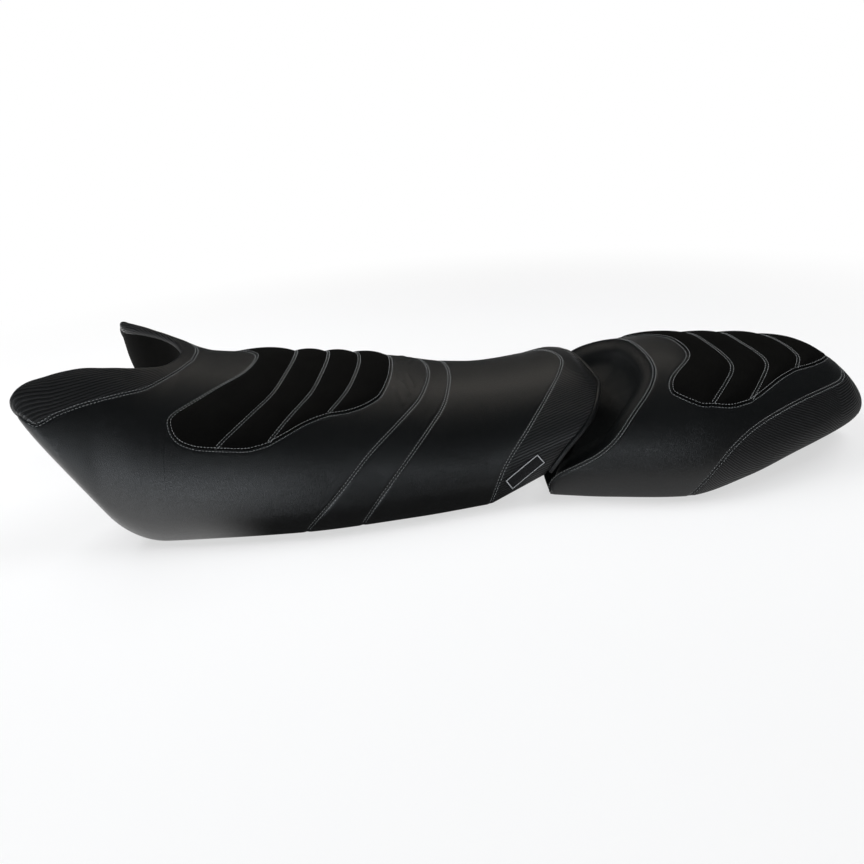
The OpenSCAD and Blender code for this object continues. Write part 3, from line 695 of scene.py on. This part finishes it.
SIDE_ROWS, NOSE_ROWS = 78, 34
RIM_ROW = SIDE_ROWS + 5
BOLSTER_RIBS = (60, 70, math.tan(math.radians(17)))
TAIL_RIBS = (480, 70, math.tan(math.radians(-26)))
NOSE_RIBS = (-600, 190, math.tan(math.radians(12)))
NOSE_SPREAD = 0.84
LIP_R, TIP_EASE, HORN_FULL = 12.0, 5.0, 9.0
JOIN_NEAR = 0.0001


def cover(name, k, grid, material, body, slot, node, flow=None, sink=True, extra=None):
    """A cover from its near half, drawn in at the seams, mirrored and given its thickness."""
    moved = grid - normals_of(grid) * groove(k, grid)[..., None] if sink else grid
    if extra is not None:
        moved = moved + extra
    piece = laid_grid(name, moved, flow)
    both_sides(piece)
    thick(piece)
    smooth_shaded(piece)
    return dressed(piece, material, body, slot, node)


def nose_lines(n):
    """Lines down the near side below the nose panel's seam."""
    i = np.linspace(0, 8, n)
    x, y = curve(NOSE_X, i), curve(NOSE_Y, i)
    first = turn_at(DRIVER, x, y)

    def line_x(a):
        return np.broadcast_to(x[:, None], (n, np.shape(a)[-1]))
    return section_lines(DRIVER, line_x, first, SIDE_ROWS, hem_at(DRIVER, x), 1.35)


main_side = np.concatenate([nose_lines(70)[:-1], strip(DRIVER, NOSE_LINE, BAND_A, crowded(130), SIDE_ROWS)])


def wrinkles(k, grid, folds):
    """Soft folds in a cover: each from a start to an end, with its height and half width."""
    out = np.zeros(grid.shape[:-1])
    for (x0, a0), (x1, a1), high, wide in folds:
        t = np.linspace(0, 1, 9)
        path = skin(k, x0 + (x1 - x0) * t, a0 + (a1 - a0) * t)
        out += high * np.exp(-(distance_to(grid, path) / wide) ** 2)
    return normals_of(grid) * out[..., None]


FOLDS = [((-131, 0.13), (-119, 0.24), 1.1, 3.2), ((-142, 0.2), (-130, 0.32), 1.0, 3.4),
         ((-121, 0.06), (-111, 0.17), 0.9, 3.0), ((-137, 0.08), (-127, 0.15), -0.8, 3.0)]
band_side = strip(DRIVER, BAND_A, BAND_B, crowded(26), SIDE_ROWS)
saddle_side = strip(DRIVER, BAND_B, BOLSTER, crowded(70), SIDE_ROWS)
bolster_side = strip(DRIVER, BOLSTER, TAIL_END, crowded(44), SIDE_ROWS)
rear_side = strip(PASSENGER, CUP_LINE, TAIL_LINE, crowded(110), SIDE_ROWS)
tail_side = strip(PASSENGER, TAIL_LINE, REAR_LINE, 1 - (1 - np.linspace(0, 1, 80)) ** 1.6, SIDE_ROWS)
cover("driver_main_cover", DRIVER, main_side, vinyl, "driver_seat", "vinyl", "front_main_panel",
      extra=wrinkles(DRIVER, main_side, FOLDS))
cover("driver_band_cover", DRIVER, band_side, vinyl, "driver_seat", "vinyl", "front_band_panel")
cover("driver_saddle_cover", DRIVER, saddle_side, vinyl, "driver_seat", "vinyl", "front_saddle_panel")
cover("driver_bolster_cover", DRIVER, bolster_side, ribbed_vinyl, "driver_seat", "ribbed_vinyl",
      "front_bolster_panel", rib_flow(DRIVER, bolster_side, *BOLSTER_RIBS))
cover("passenger_main_cover", PASSENGER, rear_side, vinyl, "passenger_seat", "vinyl", "rear_main_panel")
cover("passenger_tail_cover", PASSENGER, tail_side, ribbed_vinyl, "passenger_seat", "ribbed_vinyl",
      "rear_tail_panel", rib_flow(PASSENGER, tail_side, *TAIL_RIBS))


def nose_and_notch(n):
    """Near half of the nose panel with its rolled lip, and of the wall of the notch below it."""
    i = np.linspace(0, 8, n)
    nose = np.stack([curve(NOSE_X, i), curve(NOSE_Y, i)], -1)
    edge = np.stack([curve(NOTCH_X, i), curve(NOTCH_Y, i)], -1)
    span = np.linalg.norm(edge - nose, axis=1)
    lip = np.minimum(LIP_R, 0.42 * span)

    def on_top(s):
        plan = nose[:, None, :] + (edge - nose)[:, None, :] * s[..., None]
        a = turn_at(DRIVER, plan[..., 0], plan[..., 1])
        top = skin(DRIVER, plan[..., 0], np.where(plan[..., 1] <= 0, 0, a))
        at_tip = np.clip(1 - i / 1.1, 0, 1) ** 2
        top[..., 2] -= TIP_EASE * at_tip[:, None] * eased(np.clip(s / 0.3, 0, 1))
        fuller = 0.65 + 0.35 * np.clip(i / 1.4, 0, 1)
        fuller = fuller * np.cos(math.pi / 2 * np.clip((i - 1.4) / 3.2, 0, 1)) ** 2
        top[..., 2] += HORN_FULL * fuller[:, None] * np.sin(math.pi * s ** 1.2) ** 2
        return top
    upper = on_top(np.linspace(0, 1, NOSE_ROWS)[None, :] * (1 - lip / span)[:, None])
    corner = on_top(np.ones((n, 1)))
    drop = corner - np.array([0, 0, 1.0]) * (lip * 1.15)[:, None, None]
    t = np.linspace(0, 1, 10)[None, 1:, None]
    bend = (1 - t) ** 2 * upper[:, -1:] + 2 * t * (1 - t) * corner + t * t * drop
    floor_z = np.maximum(base(DRIVER, edge[:, 0]) + 1.0, 0)[:, None, None]
    foot = np.concatenate([drop[..., :2], np.broadcast_to(floor_z, (n, 1, 1))], -1)
    wall = drop + (foot - drop) * np.linspace(0, 1, 24)[None, :, None]
    return np.concatenate([upper, bend], 1), wall


nose_top, notch_side = nose_and_notch(70)


def horn_tip(plane):
    """The rounded front of the near horn, from the nose panel's first line down to the rim, and its ribs."""
    upper = nose_top[0]
    rim = main_side[0][RIM_ROW]
    gone = travelled(upper)
    v = (gone / gone[-1])[:, None]
    lower = rim + (notch_side[0][-1] - rim) * v
    u = np.linspace(0, 1, 12)[None, :, None]
    swell = np.array([-0.9, -0.15, 0.25]) * 7.0 * 4 * u * (1 - u) * np.sin(math.pi * v[..., None]) ** 0.7
    patch = upper[:, None] * (1 - u) + lower[:, None] * u + swell
    under = rim + (main_side[0][-1] - rim) * v
    w = np.array([0.34, 0.67, 1.0])[None, :, None]
    patch = np.concatenate([patch, lower[:, None] * (1 - w) + under[:, None] * w], 1)
    ribs = patch @ plane[:3] + plane[3]
    return patch[:, ::-1], ribs[:, ::-1]


def nose_ribs():
    """The ribs' flow over the nose panel, carried on evenly over its lip and straight on to the horn's tip."""
    flow = rib_flow(DRIVER, nose_top, *NOSE_RIBS) * NOSE_SPREAD
    steps = np.linalg.norm(np.diff(nose_top, axis=1), axis=2)
    last, back = NOSE_ROWS - 1, NOSE_ROWS - 6
    rate = (flow[:, last] - flow[:, back]) / steps[:, back:last].sum(1)
    flow[:, NOSE_ROWS:] = flow[:, last:NOSE_ROWS] + rate[:, None] * np.cumsum(steps[:, last:], 1)
    i = np.linspace(0, 8, len(flow))
    known = (i > 1.3) & (i < 3.2)
    level = np.concatenate([nose_top, np.ones(flow.shape + (1,))], 2)
    plane = np.linalg.lstsq(level[known].reshape(-1, 4), flow[known].ravel(), rcond=None)[0]
    t = eased(np.clip((i - 0.9) / 0.9, 0, 1)[:, None])
    return flow * t + (level @ plane) * (1 - t), plane


nose_flow, rib_plane = nose_ribs()
nose_panel = nose_top[:, ::-1]
nose_moved = nose_panel - normals_of(nose_panel) * groove(DRIVER, nose_panel)[..., None]
tip_patch, tip_ribs = horn_tip(rib_plane)
tip_patch[:, -1] = nose_moved[0, ::-1]
nose_pieces = [laid_grid("driver_nose_cover", nose_moved, nose_flow[:, ::-1]),
               laid_grid("horn_tip", tip_patch, tip_ribs)]
nose_cover = joined("driver_nose_cover", nose_pieces)
both_sides(nose_cover)
merged(nose_cover, JOIN_NEAR)
thick(nose_cover)
smooth_shaded(nose_cover)
dressed(nose_cover, ribbed_vinyl, "driver_seat", "ribbed_vinyl", "front_nose_panel")
cover("driver_notch_cover", DRIVER, notch_side[:, ::-1], matt_backing, "driver_seat", "vinyl",
      "front_notch_panel", sink=False)


CUP_OUT, END_OUT = np.array([-0.66, 0, 0.75]), np.array([0.6, 0, -0.8])


def closing_face(k, table, centre, outward, bow, roll, up, radial):
    """Near half of the dished face that closes a seat's end, from its edge to its middle."""
    a = np.linspace(0, 1, 72)
    edge = skin(k, seam(table, a), a)
    part = np.linspace(0, 1, 25)[1:, None]
    bottom = edge[-1] + (np.array([edge[-1, 0], 0, edge[-1, 2]]) - edge[-1]) * part
    bottom[:, 2] += up * eased(np.clip((part[:, 0] - 0.12) / 0.45, 0, 1))
    edge = np.concatenate([edge, bottom])
    for _ in range(4):
        edge[1:-1] = 0.25 * edge[:-2] + 0.5 * edge[1:-1] + 0.25 * edge[2:]
    s = np.asarray(radial)[None, :, None]
    out = bow * 4 * s * (1 - s) - roll * np.sin(math.pi * np.clip((1 - s) / 0.36, 0, 1)) ** 2
    q = np.asarray(centre, float)
    grid = q + (edge[:, None] - q) * s - outward * out
    grid[0, :, 1] = 0
    grid[-1, :, 1] = 0
    return grid


def turned_towards(piece, outward):
    """Flips an open sheet whose faces mostly look away from the given direction."""
    n = np.empty(len(piece.data.polygons) * 3)
    piece.data.polygons.foreach_get("normal", n)
    if n.reshape(-1, 3).mean(0) @ outward < 0:
        piece.data.flip_normals()


def closing_cover(name, grid, outward, body, node):
    piece = laid_grid(name, grid)
    both_sides(piece)
    merged(piece, JOIN_NEAR)
    edited(piece, ALL, FACE_OUT)
    turned_towards(piece, outward)
    thick(piece)
    smooth_shaded(piece)
    dressed(piece, vinyl, body, "vinyl", node)


cup_grid = closing_face(PASSENGER, CUP_LINE, (192, 0, 78), CUP_OUT, 13, 7, 12, 1 - crowded(44, 0.4) * 0.995)
end_grid = closing_face(DRIVER, TAIL_END, (112, 0, 78), END_OUT, 6, 0, 0, 0.985 - np.linspace(0, 0.98, 26))
closing_cover("passenger_cup_cover", cup_grid, CUP_OUT, "passenger_seat", "rear_cup_panel")
closing_cover("driver_end_cover", end_grid, END_OUT, "driver_seat", "front_end_panel")


PIPING_R, PIPING_SUNK = 4.0, 5.0


def piping():
    """The cord sewn into the driver seat's tail edge, from rim to rim."""
    a = np.linspace(0.97, -0.97, 241)
    middle = skin(DRIVER, seam(TAIL_END, a), a) + np.array([0.62, 0, -0.78]) * PIPING_SUNK
    ahead = unit(np.gradient(middle, axis=0))
    side = unit(np.cross(ahead, np.array([0.78, 0, 0.62])))
    up = np.cross(side, ahead)
    t = np.linspace(0, 2 * math.pi, 17)
    ring = np.cos(t)[None, :, None] * side[:, None] + np.sin(t)[None, :, None] * up[:, None]
    piece = laid_grid("driver_piping", middle[:, None] + PIPING_R * ring)
    merged(piece)
    edited(piece, NONE, OPEN_EDGES, (bpy.ops.mesh.fill, {}), ALL, FACE_OUT)
    smooth_shaded(piece)
    return dressed(piece, vinyl, "driver_seat", "vinyl", "front_piping")


piping()

# Quilted pads.
PAD_FLOOR, PAD_EDGE, PAD_SEWN = 0.5, 0.5, 4.2
PAD_FLAT, PAD_SLOPE, PAD_HIGH = 2.5, 11, 3.0
PAD_PRESSURE, PAD_MOST, PUFF_STEPS = 48.0, 5.0, 20


def pad_points(k, j, steps, turns):
    """Points under one pad and the way they face, from its front seam to its rear one."""
    s = np.linspace(0, 1, steps)
    r = np.linspace(1, -1, turns)
    low = curve(PAD_LOW[k][j], s)
    a = low[:, None] * r[None, :]
    front, back = seam(PAD_LINES[k][j], a), seam(PAD_LINES[k][j + 1], a)
    inset = 1.0 / np.maximum(back - front, 5)
    part = inset + (1 - 2 * inset) * s[:, None]
    x = front + (back - front) * part
    return skin(k, x, a), facing(k, x, a)


def sewn_pad(name, k, j):
    """One pad before it is puffed: a low crowned top over a flat underside, sewn along its edge."""
    ground, out = pad_points(k, j, 22, 121)
    rim = np.concatenate([ground[0], ground[1:, -1], ground[-1, -2::-1], ground[-2::-1, 0]])
    d = distance_to(ground, rim)
    rise = eased(np.clip((d - PAD_FLAT) / PAD_SLOPE, 0, 1))
    top = laid_grid(name, ground + out * (PAD_FLOOR + PAD_EDGE + PAD_HIGH * rise)[..., None])
    under = laid_grid("under", (ground + out * PAD_FLOOR)[:, ::-1])
    held = np.concatenate([(d < PAD_SEWN).ravel(), np.ones(d.size, bool)])
    pad = joined(name, [top, under])
    group = pad.vertex_groups.new(name="sewn")
    group.add([int(v) for v in np.flatnonzero(held)], 1.0, "REPLACE")
    edited(pad, NONE, OPEN_EDGES, (bpy.ops.mesh.bridge_edge_loops, {}), ALL, FACE_OUT)
    return pad


def puffed(pads):
    """Blows the sewn pads up by cloth pressure, held at their sewn edges, and caps the swell."""
    before = {}
    for pad in pads:
        before[pad.name] = points_of(pad)
        cloth = pad.modifiers.new("puff", "CLOTH")
        fabric = cloth.settings
        fabric.quality = 6
        fabric.mass = 0.08
        fabric.tension_stiffness = fabric.compression_stiffness = 1.2
        fabric.shear_stiffness = 0.6
        fabric.bending_stiffness = 0.02
        fabric.tension_damping = fabric.compression_damping = 1.0
        fabric.use_pressure = True
        fabric.uniform_pressure_force = PAD_PRESSURE
        fabric.vertex_group_mass = "sewn"
        fabric.effector_weights.gravity = 0
        cloth.collision_settings.use_collision = False
        cloth.point_cache.frame_start, cloth.point_cache.frame_end = 1, PUFF_STEPS
    for step in range(1, PUFF_STEPS + 1):
        scene.frame_set(step)
    for pad in pads:
        picked(pad)
        bpy.ops.object.modifier_apply(modifier="puff")
        moved = points_of(pad) - before[pad.name]
        far = np.linalg.norm(moved, axis=1, keepdims=True)
        moved *= np.minimum(1, PAD_MOST * 0.001 / np.maximum(far, 1e-9))
        move_points(pad, before[pad.name] + moved)
        applied(pad, "SUBSURF", levels=1, render_levels=1)
        smooth_shaded(pad, 70)
    scene.frame_set(1)


pads = []
for kind, word, end in ((DRIVER, "driver", "front"), (PASSENGER, "passenger", "rear")):
    for j in range(4):
        pads.append((sewn_pad(f"{word}_pad_{j + 1}", kind, j), f"{word}_seat", f"{end}_pad_{j + 1}"))
puffed([pad for pad, _, _ in pads])
for pad, body, node in pads:
    dressed(pad, suede, body, "suede", node)

# Top-stitching.
STITCH_PITCH, STITCH_LONG, THREAD_R = 5.0, 3.7, 0.42
STITCH_STOP, NOSE_STOP = RIM_R * 0.8, -653
PAD_OUTER, PAD_INNER, CHANNEL = 2.4, 2.8, 2.2


def one_stitch():
    """One stitch of thread along X: a stretched ball whose ends dip into the cover."""
    clear_selection()
    bpy.ops.mesh.primitive_uv_sphere_add(segments=6, ring_count=6, radius=1.0, rotation=(0, math.pi / 2, 0))
    stitch = bpy.context.active_object
    bpy.ops.object.transform_apply(location=True, rotation=True, scale=True)
    co = np.array([v.co for v in stitch.data.vertices])
    co[:, 0] = np.sign(co[:, 0]) * np.abs(co[:, 0]) ** 0.7
    shaped = np.stack([co[:, 0] * STITCH_LONG / 2, co[:, 1] * THREAD_R,
                       co[:, 2] * THREAD_R * 0.85 + 0.1 - 0.55 * co[:, 0] ** 4], -1)
    faces = [list(p.vertices) for p in stitch.data.polygons]
    bpy.data.objects.remove(stitch, do_unlink=True)
    return shaped, faces


STITCH_SHAPE, STITCH_FACES = one_stitch()


def row_beside(points, out, offset, rise):
    """A row of needle points beside a path on the surface, lifted along the surface's facing."""
    ahead = unit(np.gradient(points, axis=0))
    beside = unit(np.cross(out, ahead))
    return points + beside * offset + out * rise, out


def stitched(name, rows, body):
    """Copies of the one stitch along each row, as one piece."""
    verts, faces = [], []
    for points, out in rows:
        gone = travelled(points)
        count = int(gone[-1] / STITCH_PITCH)
        at = (np.arange(count) + 0.5) * gone[-1] / count
        middle = at_lengths(at, gone, points)
        up = unit(at_lengths(at, gone, out))
        ahead = unit(at_lengths(at + 1, gone, points) - at_lengths(at - 1, gone, points))
        side = unit(np.cross(up, ahead))
        up = np.cross(ahead, side)
        for m, f, l, u in zip(middle, ahead, side, up):
            start = len(verts) * len(STITCH_SHAPE)
            verts.append(m + STITCH_SHAPE[:, :1] * f + STITCH_SHAPE[:, 1:2] * l + STITCH_SHAPE[:, 2:] * u)
            faces.extend([[start + v for v in face] for face in STITCH_FACES])
    mesh = bpy.data.meshes.new(name)
    mesh.from_pydata(in_frame(np.concatenate(verts)).tolist(), [], faces)
    mesh.update()
    piece = bpy.data.objects.new(name, mesh)
    scene.collection.objects.link(piece)
    smooth_shaded(piece, 80)
    return dressed(piece, thread, body, "tag")


def seam_rows(key, apart):
    """The two rows of stitches beside a seam, stopped short of the rim and of the horns' tips."""
    k, x, a = SEAMS[key]
    keep = (np.abs(a) < turn_of_height(k, x, STITCH_STOP)) & (x > NOSE_STOP)
    x, a = x[keep], a[keep]
    points, out = skin(k, x, a), facing(k, x, a)
    sunk = GROOVE_DEPTH * math.exp(-(apart / GROOVE_WIDTH) ** 2)
    return [row_beside(points, out, offset, 0.2 - sunk) for offset in (-apart, apart)]


def pad_rows(k):
    """The rows of stitches round a seat's pads and along the channels between them."""
    x, a = OUTLINES[k]
    rows = []
    sunk = PAD_GROOVE * math.exp(-(PAD_OUTER / GROOVE_WIDTH) ** 2)
    for side in (1, -1):
        points, out = skin(k, x, side * a), facing(k, x, side * a)
        rows.append(row_beside(points, out, -PAD_OUTER * side, 0.2 - sunk))
        rows.append(row_beside(points, out, PAD_INNER * side, PAD_FLOOR + 0.8))
    for j in range(1, 4):
        low = PAD_LOW[k][j][0][1]
        turn = np.linspace(low - 0.012, 0.012 - low, 200)
        px = seam(PAD_LINES[k][j], turn)
        points, out = skin(k, px, turn), facing(k, px, turn)
        for offset in (-CHANNEL, CHANNEL):
            rows.append(row_beside(points, out, offset, PAD_FLOOR + 0.7))
    return rows


stitched("driver_nose_stitches", seam_rows("nose", 2.3), "driver_seat")
stitched("driver_band_stitches", seam_rows("band_a", 2.0) + seam_rows("band_b", 2.0), "driver_seat")
stitched("driver_bolster_stitches", seam_rows("bolster", 2.0), "driver_seat")
stitched("driver_pad_stitches", pad_rows(DRIVER), "driver_seat")
stitched("passenger_cup_stitches", seam_rows("cup", 2.2), "passenger_seat")
stitched("passenger_tail_stitches", seam_rows("tail", 2.4), "passenger_seat")
stitched("passenger_pad_stitches", pad_rows(PASSENGER), "passenger_seat")


# Tag, foam and hardware.
TAG_PROUD, TAG_THICK = 1.6, 1.2
FOAM_CLEAR, FOAM_VOXEL = 3, 0.006


def sewn_tag():
    """The bare woven tag at the foot of the bolster."""
    s, t = np.linspace(0, 1, 41), np.linspace(0, 1, 17)
    x = 28 + 54 * s[:, None] - 12 * t[None, :]
    a = 0.975 - 0.085 * s[:, None] - 0.095 * t[None, :]
    grid = (skin(DRIVER, x, a) + TAG_PROUD * facing(DRIVER, x, a))[:, ::-1]
    tag = laid_grid("sewn_tag_woven", grid)
    keep_value(tag, "tag_u", s[:, None] * TAG_LONG + 0 * t)
    keep_value(tag, "tag_v", t[None, ::-1] * TAG_TALL + 0 * s[:, None])
    thick(tag, TAG_THICK)
    smooth_shaded(tag, 40)
    return dressed(tag, woven_tag, "driver_seat", "tag", "sewn_tag")


sewn_tag()


def held_under(core, sheet, outward):
    """Presses the foam back wherever it comes too near the dished sheet that closes its end."""
    cloth = np.concatenate([sheet.reshape(-1, 3), sheet.reshape(-1, 3) * [1, -1, 1]])
    lean = normals_of(sheet)
    lean *= np.sign((lean * outward).sum(-1, keepdims=True))
    lean = np.concatenate([lean.reshape(-1, 3), lean.reshape(-1, 3) * [1, -1, 1]])
    co = points_of(core) * 1000 - np.array([X_MID, 0, 0])
    low, high = cloth.min(0) - 12, cloth.max(0) + 12
    for v in np.flatnonzero(((co > low) & (co < high)).all(1)):
        apart = co[v] - cloth
        j = int((apart * apart).sum(1).argmin())
        rise = float(apart[j] @ lean[j])
        if rise > -FOAM_CLEAR and np.linalg.norm(apart[j]) < 22:
            co[v] -= lean[j] * (rise + FOAM_CLEAR)
    move_points(core, in_frame(co))


def foam_core(name, node, body, sheet, outward):
    """The foam under a cover: its plain solid remeshed, rounded off and kept below the sheet at its end."""
    core = frame["nodes"][node].copy()
    core.data = core.data.copy()
    scene.collection.objects.link(core)
    for key in [key for key in core.keys() if key.startswith("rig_")]:
        del core[key]
    core.parent = None
    core.matrix_world = Matrix.Identity(4)
    core.name = core.data.name = name
    merged(core)
    applied(core, "REMESH", mode="VOXEL", voxel_size=FOAM_VOXEL)
    applied(core, "SMOOTH", factor=0.5, iterations=4)
    held_under(core, sheet, outward)
    smooth_shaded(core, 80)
    dressed(core, foam_finish, body, "foam", node)


foam_core("driver_foam_core", "front_foam", "driver_seat", end_grid, END_OUT)
foam_core("passenger_foam_core", "rear_foam", "passenger_seat", cup_grid, CUP_OUT)

HARDWARE = {"pan": pan_plastic, "keeper": pan_plastic, "feet": foot_rubber}
for word in ("staples", "tongue", "bracket", "lever", "pin", "bolts"):
    HARDWARE[word] = zinc_steel
for piece in list(scene.objects):
    if "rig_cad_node" in piece and not piece.hide_render:
        word = piece["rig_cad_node"].split("_")[-1]
        if word in HARDWARE:
            piece.data.materials.clear()
            piece.data.materials.append(HARDWARE[word])


# Stage.
def camera_made():
    """The camera at the photograph's viewing angle."""
    pitch, roll = math.radians(26), math.radians(4.8)
    ahead = Vector((0, math.cos(pitch), -math.sin(pitch)))
    right, up = Vector((1, 0, 0)), Vector((0, math.sin(pitch), math.cos(pitch)))
    tilted_right = right * math.cos(roll) - up * math.sin(roll)
    tilted_up = up * math.cos(roll) + right * math.sin(roll)
    data = bpy.data.cameras.new("camera")
    data.lens, data.sensor_width = 25.0, 36.0
    data.clip_start, data.clip_end = 0.01, 100
    cam = bpy.data.objects.new("camera", data)
    scene.collection.objects.link(cam)
    turn = Matrix((tilted_right, tilted_up, -ahead)).transposed()
    cam.matrix_world = Matrix.Translation((-0.076, -0.985, 0.526)) @ turn.to_4x4()
    scene.camera = cam


def seen_by(w, *kinds):
    """1 for the kinds of ray named, such as Camera and Glossy, and 0 for the light on the object."""
    path = w.make("ShaderNodeLightPath").socket.node
    wires = [Wire(w.tree, path.outputs[f"Is {kind} Ray"]) for kind in kinds]
    return wires[0] if len(wires) == 1 else w.sum("MAXIMUM", *wires)


def floor_made():
    """A pale floor that fades to white. In what mirrors it, it shows a painted reflection card with darker
    bands instead of its lit face: a bright painted patch to the left, a fainter one to the right, and painted
    shade between for the floor's shadow.
    """
    clear_selection()
    bpy.ops.mesh.primitive_circle_add(vertices=96, radius=14, fill_type="NGON", location=(0, 0, -0.0005))
    floor = bpy.context.active_object
    floor.name = "studio_floor"
    material, shader, w = finish_named("pale_floor_and_painted_reflection", Roughness=0.7, Specular_IOR_Level=0.2)
    feed(shader, mixed(w, noise(w, 3.0), (0.80, 0.80, 0.80), (0.83, 0.83, 0.83)), "Base Color")
    far = w.make("ShaderNodeVectorMath", {"operation": "LENGTH"}, {0: place(w)}, output="Value")
    mirrored = seen_by(w, "Glossy", "Transmission")
    split = w.make("ShaderNodeSeparateXYZ", None, {0: place(w)}).socket.node
    x, y = (Wire(w.tree, split.outputs[key]) for key in "XY")
    # Painted reflection: glossy rays see this card, not the lit floor. It is bright to the left, fainter to
    # the right, and painted dark between for the floor's shadow
    side = x / (w.sum("ABSOLUTE", y) + 0.55)
    painted_left_patch = side.smooth(-0.58, -0.42, 1.15, 0.0)
    painted_right_patch = side.smooth(0.06, 0.18, 0.0, 0.4) * side.smooth(0.42, 0.65, 1.0, 0.45)
    painted_reflection_card = 0.06 + painted_left_patch + painted_right_patch
    backdrop_and_painted_reflection = w.make("ShaderNodeEmission", None, {"Color": 1 - mirrored + mirrored * painted_reflection_card, "Strength": 1.0})
    white = w.sum("MAXIMUM", far.smooth(0.9, 2.2, 0.62, 1.0) * seen_by(w, "Camera"), mirrored)
    lit = w.make("ShaderNodeMixShader", None, {0: white, 1: Wire(w.tree, shader.outputs[0]), 2: backdrop_and_painted_reflection})
    feed(material.node_tree.nodes["Material Output"], lit, "Surface")
    floor.data.materials.append(material)


def lamp(name, place_at, aim, width, tall, power, colour, mirrored=True):
    """A soft rectangular lamp, seen in reflections only where mirrored."""
    data = bpy.data.lights.new(name, "AREA")
    data.shape, data.size, data.size_y = "RECTANGLE", width, tall
    data.energy, data.color = power, colour
    lamp_object = bpy.data.objects.new(name, data)
    lamp_object.location = place_at
    lamp_object.rotation_euler = (Vector(aim) - Vector(place_at)).to_track_quat("-Z", "Y").to_euler()
    lamp_object.visible_camera, lamp_object.visible_glossy = False, mirrored
    scene.collection.objects.link(lamp_object)


COOL, DAY, WARM = (0.97, 0.98, 1.0), (0.88, 0.94, 1.0), (1.0, 0.93, 0.84)


def light_made():
    """A dim room, white behind the object, two plain lamps above it and three that its gloss shows."""
    world = bpy.data.worlds.new("soft_room")
    scene.world = world
    world.use_nodes = True
    w = Wire(world.node_tree)
    towards = w.make("ShaderNodeTexCoord", output="Generated")
    up = w.make("ShaderNodeSeparateXYZ", None, {0: towards}, output="Z")
    room = mixed(w, up.smooth(0.0, 0.5), (0.05, 0.052, 0.054), (0.025, 0.025, 0.025))
    feed(world.node_tree.nodes["Background"], mixed(w, seen_by(w, "Camera"), room, (1, 1, 1)), "Color")
    lamp("left_light", (-1.6, 0.4, 2.2), (0, -0.3, 0), 1.8, 1.8, 72, COOL, mirrored=False)
    lamp("right_light", (1.6, 0.2, 2.2), (0, -0.3, 0), 1.6, 1.6, 44, COOL, mirrored=False)
    lamp("window_light", (-1.5, -2.25, 0.62), (-0.45, -0.2, 0.1), 1.1, 1.2, 10.0, DAY)
    lamp("front_light", (0.42, -1.95, 1.05), (0.25, -0.2, 0.1), 0.6, 0.4, 2.6, DAY)
    lamp("back_light", (0.1, 2.3, 2.2), (0, 0, 0.1), 2.6, 0.8, 7, WARM)


camera_made()
floor_made()
light_made()
scene.view_settings.view_transform = "Standard"
